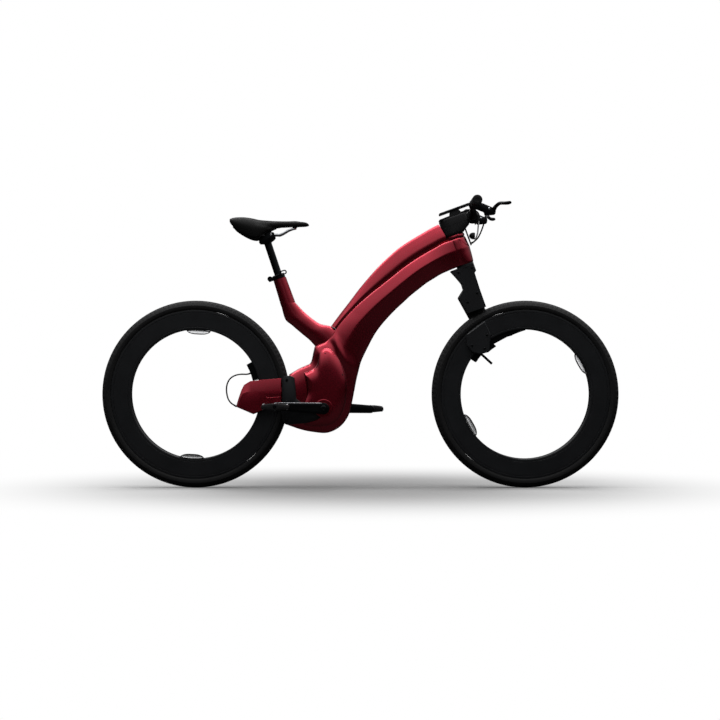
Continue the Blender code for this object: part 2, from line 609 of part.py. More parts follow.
def top_rail():
    # The rail lies on the body's upper edge, a seat's gap above it
    tops = [list(by_head(RAIL_START, RAIL_END_UP))] + [list(by_frame(*point)) for point in RAIL_TOP]
    tops = smooth_rows(tops, FRAME_STEPS)
    rows = []
    for index, (top, body) in enumerate(zip(tops, body_rows())):
        away = Vector((top[0] - body[0], top[1] - body[1])).normalized() * (2 * SEAT_GAP)
        if index == 0:
            away = Vector(by_head(0.0, 2 * HEAD_TOP_MARGIN)) - Vector(by_head(0.0, 0.0))
        width = RAIL_HALF_WIDTH - RAIL_TAPER * index / len(tops)
        rows.append([*top, body[0] + away.x, body[1] + away.y, width, 0.0])
    rail = new_object("top_rail", ribbon(rows, [RAIL_SECTION]), GROUND, RED_PAINT)
    low = HEAD_LENGTH + 2 * SEAT_GAP
    high = CONSOLE_BOTTOM - COLLAR_GAP
    edge = HEAD_RADIUS * HEAD_SECTION[0][1]
    collar = [(0.0, low), (edge, low), (edge + COLLAR_CHAMFER, low + COLLAR_CHAMFER),
              (edge + COLLAR_CHAMFER, high - COLLAR_CHAMFER), (edge, high), (0.0, high)]
    boolean(rail, "DIFFERENCE", new_object("mast_space", mast(2 * SEAT_GAP, CUT_REACH, PLAIN_SECTION), GROUND))
    space = rod(CONSOLE_HALF_WIDTH + MOVING_GAP, high - MOVING_GAP + COLLAR_GAP, high + CUT_REACH, 48, "Z")
    boolean(rail, "DIFFERENCE", new_object("console_space", space, STEERING))
    boolean(rail, "UNION", new_object("collar_shape", spun(collar, 32, "Z"), STEERING))
    bore = rod(STEERER_RADIUS + RUNNING_GAP, 0.0, high + CUT_REACH, 32, "Z")
    boolean(rail, "DIFFERENCE", new_object("collar_bore", bore, STEERING))


def drive_unit():
    # Motor in its pocket, with a low domed cover and a round boss on each side
    half = HOUSING_HALF_WIDTH
    motor = new_object("motor_block", rod(MOTOR_RADIUS - SEAT_GAP, -half, half, 40), CRANK_AXIS, BLACK_ALUMINIUM)
    bore = new_object("spindle_bore", rod(SPINDLE_RADIUS + RUNNING_GAP, -CUT_REACH, CUT_REACH, 20), CRANK_AXIS)
    boolean(motor, "DIFFERENCE", bore)
    outline = smooth_rows([list(point) for point in COVER_OUTLINE + COVER_OUTLINE[:1]], 2)[:-1]
    inner = half + SEAT_GAP
    for label, side in (("right", -1.0), ("left", 1.0)):
        loops = []
        for level, share in COVER_LEVELS:
            loops.append([(x * share, side * (inner + level * COVER_THICKNESS),
                           COVER_CENTRE_Z + (z - COVER_CENTRE_Z) * share) for x, z in outline])
        cover = new_object("drive_cover_" + label, skin(loops), CRANK_AXIS, RED_PAINT)
        if side < 0.0:
            room = slab(grow_outline(scaled(RIGHT_ARM, TYRE_RADIUS), 2 * SEAT_GAP), -CUT_REACH, 0.0)
            boolean(cover, "DIFFERENCE", new_object("arm_room", room, REAR_AXLE))
        low, high = sorted((side * (inner + COVER_THICKNESS * 0.5), side * (inner + COVER_THICKNESS + BOSS_HEIGHT)))
        boss = new_object("boss_shape_" + label, rod(BOSS_RADIUS, low, high, 32, chamfer=0.0015), CRANK_AXIS)
        boolean(cover, "UNION", boss)
        boolean(cover, "DIFFERENCE", bore)
    return inner + COVER_THICKNESS + BOSS_HEIGHT


def cranks(clear_of):
    arm_inner = clear_of + MOVING_GAP
    arm_outer = arm_inner + CRANK_THICKNESS
    for label, side, heading in (("right", -1.0, 180.0 - CRANK_TILT), ("left", 1.0, -CRANK_TILT)):
        turn = math.radians(heading)
        along = Vector((math.cos(turn), math.sin(turn)))
        across = Vector((-along.y, along.x))
        outline = []
        for centre, radius, start in ((CRANK_LENGTH, CRANK_END_RADIUS, -90.0), (0.0, CRANK_HUB_RADIUS, 90.0)):
            for i in range(9):
                a = math.radians(start + 180.0 * i / 8)
                p = along * (centre + radius * math.cos(a)) + across * radius * math.sin(a)
                outline.append((p.x, p.y))
        low, high = sorted((side * arm_inner, side * arm_outer))
        arm = new_object("crank_arm_" + label, slab(outline, low, high), CRANK_AXIS, BLACK_ALUMINIUM)
        pin_at = along * CRANK_LENGTH
        pin_end = arm_outer + PEDAL_GAP + PEDAL_WIDTH - PIN_INSET
        start, end = sorted((side * (arm_outer - PIN_INSET), side * pin_end))
        pin_mesh = rod(PEDAL_PIN_RADIUS, start, end, 20)
        bmesh.ops.translate(pin_mesh, verts=pin_mesh.verts, vec=(pin_at.x, 0.0, pin_at.y))
        boolean(arm, "UNION", new_object("pin_shape_" + label, pin_mesh, CRANK_AXIS))
        bore = new_object("arm_bore_" + label, rod(SPINDLE_RADIUS + SEAT_GAP, -CUT_REACH - arm_inner, CUT_REACH + arm_inner, 24), CRANK_AXIS)
        boolean(arm, "DIFFERENCE", bore)
        pedal(label, side, pin_at, arm_outer + PEDAL_GAP)
    spindle = rod(SPINDLE_RADIUS, -arm_outer, arm_outer, 24)
    new_object("crank_spindle", spindle, CRANK_AXIS, BLACK_ALUMINIUM)


def pedal(label, side, pin_at, inner):
    pivot = empty("pedal_axis_" + label, (pin_at.x, 0.0, pin_at.y), CRANK_AXIS)
    low, high = sorted((side * inner, side * (inner + PEDAL_WIDTH)))
    half, thick = PEDAL_LENGTH / 2, PEDAL_THICKNESS / 2
    quarter = [(PEDAL_SPINE, thick), (half * 0.8, thick * 0.8), (half, thick * 0.45)]
    upper = [(-x, z) for x, z in reversed(quarter)] + quarter
    outline = upper + [(x, -z) for x, z in reversed(upper)]
    body = new_object("pedal_" + label, slab(outline, low, high), pivot, BLACK_PLASTIC)
    for name, x0, x1 in (("rear", -half + PEDAL_WALL, -PEDAL_SPINE), ("front", PEDAL_SPINE, half - PEDAL_WALL)):
        hole = slab([(x0, -CUT_REACH), (x1, -CUT_REACH), (x1, CUT_REACH), (x0, CUT_REACH)],
                    low + PEDAL_WALL, high - PEDAL_WALL)
        boolean(body, "DIFFERENCE", new_object(f"pedal_hole_{label}_{name}", hole, pivot))
    bore = rod(PEDAL_PIN_RADIUS + RUNNING_GAP, low - CUT_REACH, high + CUT_REACH, 20)
    boolean(body, "DIFFERENCE", new_object("pedal_bore_" + label, bore, pivot))


def rear_end():
    seat = carrier_ring("rear", REAR_AXLE)
    # Bracket across the opening: it carries the arm on the left and the cover on the right
    bracket = new_object("rear_bracket", slab(scaled(REAR_BRACKET, TYRE_RADIUS), -COVER_INNER + SEAT_GAP,
                                              LEG_INNER - SEAT_GAP), REAR_AXLE, BLACK_ALUMINIUM)
    tongue = slab(sector(OPENING_RADIUS - TONGUE_DEPTH, seat, -2 * WHEEL_STEP, WHEEL_STEP, 3), -RING_HALF_WIDTH, RING_HALF_WIDTH)
    boolean(bracket, "UNION", new_object("rear_tongue", tongue, REAR_AXLE))

    # Arm on the left side, from its seat in the housing to the bracket
    reach = TYRE_RADIUS + WHEEL_CLEARANCE
    root_out = reach + ARM_ROOT_DEPTH - SEAT_GAP
    outline = sector(OPENING_RADIUS - BRACKET_DEPTH, root_out, ARM_FIRST, ARM_LAST, ARM_STEPS)
    arm = new_object("rear_arm", slab(outline, LEG_INNER, LEG_INNER + ARM_THICKNESS), REAR_AXLE, BLACK_PAINT)
    root = sector(reach, root_out, ARM_FIRST, ARM_LAST, ARM_STEPS)
    boolean(arm, "UNION", new_object("arm_root", slab(root, -ARM_ROOT_WIDTH, LEG_INNER + 0.25 * ARM_THICKNESS), REAR_AXLE))

    # Cover and arm on the right face of the wheel, as the side view shows them
    for name, outline, finish in (("tail_cover", TAIL_COVER, RED_PAINT), ("rear_arm_right", RIGHT_ARM, BLACK_PAINT)):
        outline = scaled(outline, TYRE_RADIUS)
        plate = new_object(name, slab(outline, -COVER_INNER - SHELL_THICKNESS, -COVER_INNER), REAR_AXLE, finish)
        if name == "rear_arm_right":
            room = rod(BOSS_RADIUS + 2 * SEAT_GAP, -CUT_REACH, 0.0, 32)
            boolean(plate, "DIFFERENCE", new_object("boss_room", room, CRANK_AXIS))
        round_edges(plate, SHELL_EDGE, 1, 50.0)

    # Brake caliper over the left flange, over the bracket, with its hose loop
    caliper("rear_caliper", REAR_AXLE, *REAR_CALIPER, seat)
    cable("rear_brake_hose", [(x * TYRE_RADIUS, y, z * TYRE_RADIUS) for x, y, z in REAR_HOSE], HOSE_RADIUS,
          REAR_AXLE, BLACK_PLASTIC)


def caliper(name, parent, first, last, seat):
    # Body on the ring's left side with a slot that the rim's left flange passes through
    low = OPENING_RADIUS - CALIPER_DEPTH
    body = slab(sector(low, OPENING_RADIUS + CALIPER_RISE, first, last, 3), RING_HALF_WIDTH + SEAT_GAP,
                LEG_INNER - MOVING_GAP)
    piece = new_object(name, body, parent, BLACK_ALUMINIUM)
    slot = slab(sector(OPENING_RADIUS - MOVING_GAP, OPENING_RADIUS + 2 * CALIPER_RISE, first - 3.0, last + 3.0, 3),
                RIM_HALF_WIDTH - FLANGE_THICKNESS - SLOT_GAP, RIM_HALF_WIDTH + SLOT_GAP)
    boolean(piece, "DIFFERENCE", new_object(name + "_slot", slot, parent))
    foot = slab(sector(low, seat, first, last, 3), -0.75 * RING_HALF_WIDTH, RING_HALF_WIDTH + SLOT_GAP)
    boolean(piece, "UNION", new_object(name + "_foot", foot, parent))
    return piece


def front_end():
    seat = carrier_ring("front", FRONT_AXLE)
    # Shoe under the ring: it swells from the ring, then carries the leg on the left and the boot on the right
    outline = []
    for angle, depth in SHOE_SWELL:
        a = math.radians(angle)
        outline.append(((OPENING_RADIUS - depth) * math.cos(a), (OPENING_RADIUS - depth) * math.sin(a)))
    first, last = SHOE_SWELL[0][0], SHOE_SWELL[-1][0]
    steps = round((last - first) / WHEEL_STEP)
    outline += sector(0.0, seat, first, last, steps)[:steps + 1][::-1]
    shoe = new_object("front_shoe", slab(outline, -RING_HALF_WIDTH, RING_HALF_WIDTH), FRONT_AXLE, BLACK_ALUMINIUM)
    left = slab(sector(OPENING_RADIUS - SHOE_DEPTH, OPENING_RADIUS - MOVING_GAP, SHOE_LEFT_FROM, last, 6), 0.0,
                LEG_INNER - SEAT_GAP)
    boolean(shoe, "UNION", new_object("shoe_left", left, FRONT_AXLE))
    right = slab(sector(OPENING_RADIUS - WEB_DEPTH, OPENING_RADIUS - SHOE_DEPTH - 0.0065, WEB_FROM, last + 1.0, 2),
                 -COVER_INNER + SEAT_GAP, RING_HALF_WIDTH)
    boolean(shoe, "UNION", new_object("shoe_right", right, FRONT_AXLE))
    web = slab(sector(OPENING_RADIUS - WEB_DEPTH, OPENING_RADIUS - SHOE_DEPTH + 0.001, WEB_FROM, last, 2),
               -0.9 * RING_HALF_WIDTH, 0.9 * RING_HALF_WIDTH)
    boolean(shoe, "UNION", new_object("shoe_web", web, FRONT_AXLE))

    # Boot on the right face
    boot = slab(scaled(FRONT_BOOT, TYRE_RADIUS), -COVER_INNER - SHELL_THICKNESS, -COVER_INNER)
    round_edges(new_object("front_boot", boot, FRONT_AXLE, BLACK_PAINT), SHELL_EDGE, 1, 30.0)

    # Leg on the left, from the crown past the tyre to the shoe
    outline = LEG_TOP + [from_axle(x, z) for x, z in scaled(LEG_FOOT, TYRE_RADIUS)]
    leg = slab(outline, LEG_INNER, LEG_INNER + LEG_THICKNESS)
    round_edges(new_object("fork_leg", leg, STEERING, BLACK_PAINT), SHELL_EDGE, 1, 30.0)

    # Caliper, with the stiff end of its hose
    piece = caliper("front_caliper", FRONT_AXLE, *FRONT_CALIPER, seat)
    along = Vector((math.cos(math.radians(STUB_ANGLE)), math.sin(math.radians(STUB_ANGLE))))
    across = Vector((-along.y, along.x)) * STUB_HALF_WIDTH
    low, high = along * (OPENING_RADIUS - STUB_REACH), along * (OPENING_RADIUS - 0.5 * CALIPER_DEPTH)
    corners = [low - across, high - across, high + across, low + across]
    stub = slab([(p.x, p.y) for p in corners], -STUB_HALF_WIDTH, STUB_HALF_WIDTH)
    boolean(piece, "UNION", new_object("stub_shape", stub, FRONT_AXLE))


def fork_crown():
    crown = new_object("fork_crown", slab(CROWN, -CROWN_HALF_WIDTH, CROWN_HALF_WIDTH), STEERING, BLACK_PAINT)
    tube = rod(STEERER_RADIUS, CROWN[-1][1], CONSOLE_BOTTOM + STEERER_GRIP, 32, "Z")
    boolean(crown, "UNION", new_object("steerer_shape", tube, STEERING))
    race = rod(HEAD_RADIUS * HEAD_SECTION[-1][1], CROWN[0][1] - MOVING_GAP, -RUNNING_GAP, 32, "Z")
    boolean(crown, "UNION", new_object("race_shape", race, STEERING))
    shoulder = slab(CROWN_SHOULDER, 0.0, LEG_INNER - SEAT_GAP)
    boolean(crown, "UNION", new_object("crown_shoulder", shoulder, STEERING))
    reach = TYRE_RADIUS + WHEEL_CLEARANCE
    boolean(crown, "DIFFERENCE", new_object("front_wheel_space", rod(reach, -CUT_REACH, CUT_REACH, 96), FRONT_AXLE))


def cockpit():
    # Console: round at the back so that it turns inside the rail's end, its front end lifted
    loops = []
    for level, share, nose in CONSOLE_LEVELS:
        half = CONSOLE_HALF_WIDTH * share
        plan = [(half * math.cos(a), half * math.sin(a))
                for a in (math.radians(90.0 + 180.0 * i / 12) for i in range(13))]
        plan += [(nose - NOSE_CORNER, -half), (nose, -half + NOSE_CORNER), (nose, half - NOSE_CORNER),
                 (nose - NOSE_CORNER, half)]
        loops.append([(x, y, level) for x, y in plan])
    console = new_object("console", skin(loops), STEERING, BLACK_PLASTIC)
    clamp = rod(BAR_RADIUS + CLAMP_WALL, -CLAMP_HALF_WIDTH, CLAMP_HALF_WIDTH, 24, chamfer=0.002)
    bmesh.ops.translate(clamp, verts=clamp.verts, vec=(BAR_FORWARD, 0.0, BAR_CENTRE))
    boolean(console, "UNION", new_object("bar_clamp", clamp, STEERING))
    near, far, low, high = LAMP_STAY, LAMP_STAY + STAY_THICKNESS, HOSE_END_UP - STAY_FOOT, CONSOLE_NOSE_UP + STAY_ROOT
    stay = slab([(near, high), (near, low), (far, low), (far, high)], -STAY_HALF_WIDTH, STAY_HALF_WIDTH)
    boolean(console, "UNION", new_object("lamp_stay", stay, STEERING))
    bore = rod(STEERER_RADIUS + SEAT_GAP, CONSOLE_BOTTOM - 0.02, CONSOLE_BOTTOM + STEERER_GRIP + 0.0015, 32, "Z")
    boolean(console, "DIFFERENCE", new_object("console_bore", bore, STEERING))
    bore = rod(BAR_RADIUS + SEAT_GAP, -CUT_REACH, CUT_REACH, 24)
    bmesh.ops.translate(bore, verts=bore.verts, vec=(BAR_FORWARD, 0.0, BAR_CENTRE))
    boolean(console, "DIFFERENCE", new_object("bar_bore", bore, STEERING))

    # Handlebar: thick in the clamp, then thin, rising to the grips
    grip_start = BAR_HALF_WIDTH - GRIP_LENGTH
    bend = BAR_THICK + 0.455 * (grip_start - BAR_THICK)
    stations = [(-BAR_HALF_WIDTH, 1.0, BAR_END_RADIUS), (-bend, 1.0, BAR_END_RADIUS),
                (-BAR_THICK - 0.23 * (bend - BAR_THICK), 0.12, BAR_END_RADIUS), (-BAR_THICK, 0.0, BAR_RADIUS)]
    stations += [(-y, rise, r) for y, rise, r in reversed(stations)]
    loops = []
    for y, rise, r in stations:
        loops.append([(BAR_FORWARD + r * math.cos(2 * math.pi * i / 20), y,
                       BAR_CENTRE + rise * BAR_RISE + r * math.sin(2 * math.pi * i / 20)) for i in range(20)])
    new_object("handlebar", skin(loops), STEERING, BLACK_ALUMINIUM)

    for label, side in (("right", -1.0), ("left", 1.0)):
        low, high = sorted((side * grip_start, side * (BAR_HALF_WIDTH + GRIP_CAP)))
        grip = rod(GRIP_RADIUS, low, high, 20, chamfer=0.0025)
        at = (BAR_FORWARD, 0.0, BAR_CENTRE + BAR_RISE)
        bmesh.ops.translate(grip, verts=grip.verts, vec=at)
        piece = new_object("grip_" + label, grip, STEERING, GRIP_RUBBER)
        bore = rod(BAR_END_RADIUS + SEAT_GAP, *sorted((side * bend, side * (BAR_HALF_WIDTH + SEAT_GAP))), 24)
        bmesh.ops.translate(bore, verts=bore.verts, vec=at)
        boolean(piece, "DIFFERENCE", new_object("grip_bore_" + label, bore, STEERING))
        brake_lever(label, side, at, grip_start)

    display()
    lamp()


def brake_lever(label, side, bar, grip_start):
    # Clamp and reservoir on the bar, with the blade in front of the grip
    near, far = grip_start - LEVER_NEAR, grip_start - LEVER_FAR
    low, high = sorted((side * near, side * far))
    clamp = rod(BAR_END_RADIUS + LEVER_CLAMP_WALL, low, high, 24, chamfer=0.002)
    bmesh.ops.translate(clamp, verts=clamp.verts, vec=bar)
    piece = new_object("brake_lever_" + label, clamp, STEERING, BLACK_ALUMINIUM)
    x0, z0 = bar[0], bar[2]
    body = slab([(x0 + x, z0 + z) for x, z in LEVER_BODY], low + 0.002, high - 0.002)
    boolean(piece, "UNION", new_object("lever_body_" + label, body, STEERING))
    blade = []
    for across, dx, dz, wide, tall in LEVER_BLADE:
        blade.append([(x0 + dx + wide * 0.5 * cx, side * (grip_start + across), z0 + dz + tall * 0.5 * cz)
                      for cx, cz in ((-1, -0.5), (-0.5, -1), (0.5, -1), (1, -0.5), (1, 0.5), (0.5, 1),
                                     (-0.5, 1), (-1, 0.5))])
    boolean(piece, "UNION", new_object("lever_blade_" + label, skin(blade), STEERING))
    bore = rod(BAR_END_RADIUS + SEAT_GAP, *sorted((side * (near - LEVER_FAR), side * grip_start)), 24)
    bmesh.ops.translate(bore, verts=bore.verts, vec=bar)
    boolean(piece, "DIFFERENCE", new_object("lever_bore_" + label, bore, STEERING))

    # The hose leaves the body's inner side, runs down ahead of the head and ends on the lamp's stay
    start_x, start_z = x0 + HOSE_START[0], z0 + HOSE_START[1]
    begin = near + 0.002 - 2 * SEAT_GAP
    shift = max(0.0, side) * HOSE_APART
    route = [(start_x, side * begin, start_z), (start_x, side * (begin - 0.012), start_z)]
    route += [(x - shift, side * share * near, z) for x, share, z in HOSE_ROUTE]
    route += [(LAMP_STAY + STAY_THICKNESS + 0.012, side * 0.008, HOSE_END_UP + 0.0015),
              (LAMP_STAY + STAY_THICKNESS + 2 * SEAT_GAP, side * 0.005, HOSE_END_UP)]
    cable("brake_hose_" + label, route, HOSE_RADIUS, STEERING, BLACK_PLASTIC)


def display():
    # Dock plate on the console's top, with a stem that carries the screen
    base = CONSOLE_TOP + SEAT_GAP
    top = base + DOCK_HEIGHT
    upper = base + DOCK_PLATE
    outline = [(-0.034, base), (0.082, base), (0.082, upper), (0.050, upper + 0.001), (0.044, top), (0.014, top),
               (0.008, upper + 0.001), (-0.034, upper)]
    dock = slab(outline, -DOCK_HALF_WIDTH, DOCK_HALF_WIDTH)
    round_edges(new_object("display_dock", dock, STEERING, BLACK_PLASTIC), 0.001)
    low = top + SEAT_GAP
    high = low + DISPLAY_THICKNESS
    loops = []
    for z, inset in ((low, DISPLAY_EDGE), (low + DISPLAY_EDGE, 0.0), (high - DISPLAY_EDGE, 0.0), (high, DISPLAY_EDGE)):
        loops.append(rounded_plan(DISPLAY_REAR + inset, DISPLAY_REAR + DISPLAY_LENGTH - inset,
                                  DISPLAY_HALF_WIDTH - inset, DISPLAY_CORNER, z))
    new_object("display_panel", skin(loops), STEERING, GLASS)


def rounded_plan(x0, x1, half, radius, z):
    points = []
    for cx, cy, start in ((x1 - radius, half - radius, 0), (x0 + radius, half - radius, 90),
                          (x0 + radius, -half + radius, 180), (x1 - radius, -half + radius, 270)):
        for i in range(4):
            a = math.radians(start + 30.0 * i)
            points.append((cx + radius * math.cos(a), cy + radius * math.sin(a), z))
    return points


def lamp():
    # Round headlamp on its stay, level with the ground
    foot = (LAMP_STAY + STAY_THICKNESS + SEAT_GAP, 0.0, LAMP_UP)
    stay = empty("lamp_axis", foot, STEERING, math.radians(HEAD_ANGLE))
    r, long = LAMP_RADIUS, LAMP_LENGTH
    profile = [(0.0, 0.0024), (0.0055, 0.0024), (0.0055, 0.0045), (r * 0.66, 0.0052), (r * 0.92, 0.009), (r, 0.013),
               (r, long - 0.003), (r - 0.002, long), (r - 0.004, long), (r - 0.005, long - 0.0015),
               (0.0, long + 0.001)]
    new_object("headlamp", spun(profile, 24, "X"), stay, BLACK_PLASTIC)


def seat():
    # Post with its saddle clamp, quick-release collar, rails, shell and pad
    post = new_object("seatpost", rod(SEATPOST_RADIUS, -SEATPOST_DEPTH, SEATPOST_LENGTH, 24, "Z"), SEAT_TUBE,
                      BLACK_ALUMINIUM)
    tilt = math.radians(SEAT_ANGLE)
    top_x = MAST_TOP_X - SEATPOST_LENGTH * math.sin(tilt)
    top_z = MAST_TOP_Z + SEATPOST_LENGTH * math.cos(tilt)
    # Saddle clamp on the post's head: a cradle and a cap round the two rails
    half = RAIL_SPACING / 2 + RAIL_RADIUS + 0.005
    head = slab([(top_x - 0.029, RAIL_Z - 0.014), (top_x - 0.029, top_z - 0.0055), (top_x - 0.013, top_z - 0.0055),
                 (top_x + 0.009, top_z - 0.0015), (top_x + 0.025, RAIL_Z - 0.015), (top_x + 0.029, RAIL_Z - 0.009),
                 (top_x + 0.024, RAIL_Z + 0.009), (top_x - 0.024, RAIL_Z + 0.009)], -half, half)
    boolean(post, "UNION", new_object("saddle_clamp_shape", head, GROUND))
    for side in (-1.0, 1.0):
        r = RAIL_RADIUS + SEAT_GAP
        y = side * RAIL_SPACING / 2
        groove = slab([(0.0, RAIL_Z - r), (0.6, RAIL_Z - r), (0.6, RAIL_Z + r), (0.0, RAIL_Z + r)], y - r, y + r)
        boolean(post, "DIFFERENCE", new_object(f"rail_groove_{side:.0f}", groove, GROUND))

    inner = SEATPOST_RADIUS + SEAT_GAP
    outer = CLAMP_RADIUS
    low, high = MAST_TOP_UP + SEAT_GAP, MAST_TOP_UP + CLAMP_HEIGHT
    profile = [(inner, low), (outer - 0.001, low), (outer, low + 0.001), (outer, high - 0.001),
               (outer - 0.001, high), (inner, high)]
    collar = new_object("seat_clamp", spun(profile, 24, "Z"), SEAT_TUBE, BLACK_ALUMINIUM)
    ear = slab([(-0.040, low), (-0.018, low), (-0.018, high - 0.002), (-0.040, high - 0.002)], -0.009, 0.009)
    boolean(collar, "UNION", new_object("clamp_ear", ear, SEAT_TUBE))
    plane = -(outer + 0.0015)
    pin = rod(0.004, plane + SEAT_GAP, 0.0, 16)
    bmesh.ops.translate(pin, verts=pin.verts, vec=(LEVER_BOSS[0], 0.0, LEVER_BOSS[1]))
    boolean(collar, "UNION", new_object("lever_pin_shape", pin, SEAT_TUBE))

    # Quick-release lever folded along the collar's right side: a boss, an arm and an open loop
    boss = rod(LEVER_BOSS_RADIUS, plane - LEVER_THICKNESS, plane, 20)
    bmesh.ops.translate(boss, verts=boss.verts, vec=(LEVER_BOSS[0], 0.0, LEVER_BOSS[1]))
    lever = new_object("quick_release_lever", boss, SEAT_TUBE, BLACK_ALUMINIUM)
    inner, outer = plane - LEVER_THICKNESS + 0.0008, plane - 0.0008
    loop = slab(oval(LEVER_LOOP, LEVER_LOOP_SIZE, 0.0), inner, outer)
    boolean(lever, "UNION", new_object("lever_loop", loop, SEAT_TUBE))
    arm = slab([(LEVER_BOSS[0], LEVER_BOSS[1] - 0.003), (LEVER_LOOP[0] - 0.4 * LEVER_LOOP_SIZE[0], LEVER_LOOP[1] - 0.003),
                (LEVER_LOOP[0] - 0.4 * LEVER_LOOP_SIZE[0], LEVER_LOOP[1] + 0.003),
                (LEVER_BOSS[0], LEVER_BOSS[1] + 0.003)], inner + 0.0003, outer - 0.0003)
    boolean(lever, "UNION", new_object("lever_arm_shape", arm, SEAT_TUBE))
    hole = slab(oval(LEVER_LOOP, LEVER_LOOP_SIZE, LEVER_LOOP_WIRE), plane - CUT_REACH, plane + CUT_REACH)
    boolean(lever, "DIFFERENCE", new_object("lever_hole", hole, SEAT_TUBE))


def oval(centre, size, inset):
    # Outline with straight sides and round ends, drawn in by an inset
    half = 0.5 * size[1]
    reach = 0.5 * size[0] - half
    points = []
    for side, start in ((1.0, -90.0), (-1.0, 90.0)):
        for i in range(9):
            a = math.radians(start + 22.5 * i)
            points.append((centre[0] + side * reach + (half - inset) * math.cos(a),
                           centre[1] + (half - inset) * math.sin(a)))
    return points


def saddle():
    stretch = SADDLE_LENGTH / SADDLE_STATIONS[-1][0]
    pad, shell = [], []
    for along, half, drop, low in smooth_rows([list(s) for s in SADDLE_STATIONS], 2):
        x = SADDLE_REAR_X + along * stretch
        h = half * SADDLE_WIDTH / (2.0 * SADDLE_STATIONS[2][1])
        top, edge = SADDLE_TOP_Z - drop, SADDLE_TOP_Z - low
        deep = top - edge
        thick = min(PAD_THICKNESS, 0.60 * deep)
        outer = [(0.0, top), (0.5 * h, top - 0.0015), (0.85 * h, top - 0.16 * deep), (h, top - 0.48 * deep),
                 (0.97 * h, edge)]
        under = [(0.88 * h, edge), (0.78 * h, top - 0.5 * (thick + deep)), (0.5 * h, top - thick - 0.001),
                 (0.0, top - thick)]
        ring = outer + under
        pad.append([(x, -y, z) for y, z in ring] + [(x, y, z) for y, z in reversed(ring[1:-1])])
        if SHELL_FROM < along < SHELL_TO:
            over = [(y - 2 * SEAT_GAP if y else 0.0, z - 2 * SEAT_GAP) for y, z in under]
            below = [(max(y - SHELL_WALL, 0.0), z - SHELL_WALL * (0.2 if z == over[0][1] else 1.0))
                     for y, z in reversed(over)]
            ring = over + below
            right = [(x, -y, z) for y, z in ring]
            middle = len(over)
            left = [(x, y, z) for y, z in ring]
            shell.append(right[:middle] + left[middle - 2::-1] + left[:middle - 1:-1] + right[middle + 1:])
    new_object("saddle_pad", skin(pad, split=True), GROUND, SADDLE_SKIN, sharp=60.0)
    base = new_object("saddle_base", skin(shell, split=True), GROUND, BLACK_PLASTIC, sharp=50.0)

    # Rails on two sockets at the back and one under the nose
    y, z = RAIL_SPACING / 2, RAIL_Z
    for label, x0, x1, y0, y1, low, high in (("nose", 0.351, 0.369, -0.013, 0.013, z + 0.0273, z + 0.035),
                                             ("right", 0.149, 0.166, -y - 0.008, -y + 0.004, z + 0.0290, z + 0.035),
                                             ("left", 0.149, 0.166, y - 0.004, y + 0.008, z + 0.0290, z + 0.035)):
        socket = slab([(x0, low), (x1, low), (x1, high), (x0, high)], y0, y1)
        boolean(base, "UNION", new_object("socket_" + label, socket, GROUND))
    side = [(x, y - inward, z + up) for x, inward, up in SADDLE_RAIL]
    route = [(x, -across, up) for x, across, up in side] + [(x, across, up) for x, across, up in reversed(side)]
    cable("saddle_rails", route, RAIL_RADIUS, GROUND, BRIGHT_ALUMINIUM, 2)


def build():
    clear_scene()
    make_axes()
    wheel("rear", REAR_AXLE)
    wheel("front", FRONT_AXLE)
    reflectors("rear", REAR_AXLE, REAR_REFLECTOR)
    reflectors("front", FRONT_AXLE, FRONT_REFLECTOR)
    main_frame()
    top_rail()
    cranks(drive_unit())
    rear_end()
    front_end()
    fork_crown()
    cockpit()
    seat()
    saddle()


def make_axes():
    global GROUND, REAR_AXLE, FRONT_AXLE, STEERING, CRANK_AXIS, SEAT_TUBE
    GROUND = empty("ground_under_rear_axle", (-RIDER_X, 0.0, -SADDLE_TOP_Z))
    REAR_AXLE = empty("rear_axle", (0.0, 0.0, TYRE_RADIUS), GROUND)
    CRANK_AXIS = empty("crank_axis", (CRANK_X, 0.0, CRANK_Z), GROUND)
    head_x, head_z = by_frame(1.0, 1.0)
    tilt = math.radians(-HEAD_ANGLE)
    STEERING = empty("steering_axis", (head_x, 0.0, head_z), GROUND, tilt)
    FRONT_AXLE = empty("front_axle", (FORK_RAKE, 0.0, -fork_drop()), STEERING, -tilt)
    SEAT_TUBE = empty("seat_tube", (MAST_TOP_X, 0.0, MAST_TOP_Z), GROUND, math.radians(-SEAT_ANGLE))


build()
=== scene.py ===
# Hubless electric bicycle in a plain studio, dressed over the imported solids.
# Everything is in metres from the rider's seat point: +X forward, +Y to the rider's left, +Z up.
import json
import math

import bmesh
import bpy
from mathutils import Matrix, Vector


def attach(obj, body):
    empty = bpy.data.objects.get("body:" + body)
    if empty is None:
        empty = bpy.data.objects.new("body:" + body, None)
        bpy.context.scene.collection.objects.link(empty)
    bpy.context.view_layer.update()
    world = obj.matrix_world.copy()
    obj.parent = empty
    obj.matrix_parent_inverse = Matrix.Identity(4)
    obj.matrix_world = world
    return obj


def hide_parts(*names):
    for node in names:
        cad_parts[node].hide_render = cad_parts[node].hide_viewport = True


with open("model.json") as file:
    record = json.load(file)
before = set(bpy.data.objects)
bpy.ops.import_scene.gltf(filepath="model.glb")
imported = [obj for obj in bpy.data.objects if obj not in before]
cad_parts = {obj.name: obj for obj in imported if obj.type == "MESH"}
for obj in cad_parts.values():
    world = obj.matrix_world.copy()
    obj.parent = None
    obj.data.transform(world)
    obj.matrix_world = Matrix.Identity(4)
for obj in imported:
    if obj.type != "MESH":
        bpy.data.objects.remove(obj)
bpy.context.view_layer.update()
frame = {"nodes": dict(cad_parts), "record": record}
nodes = frame["nodes"]

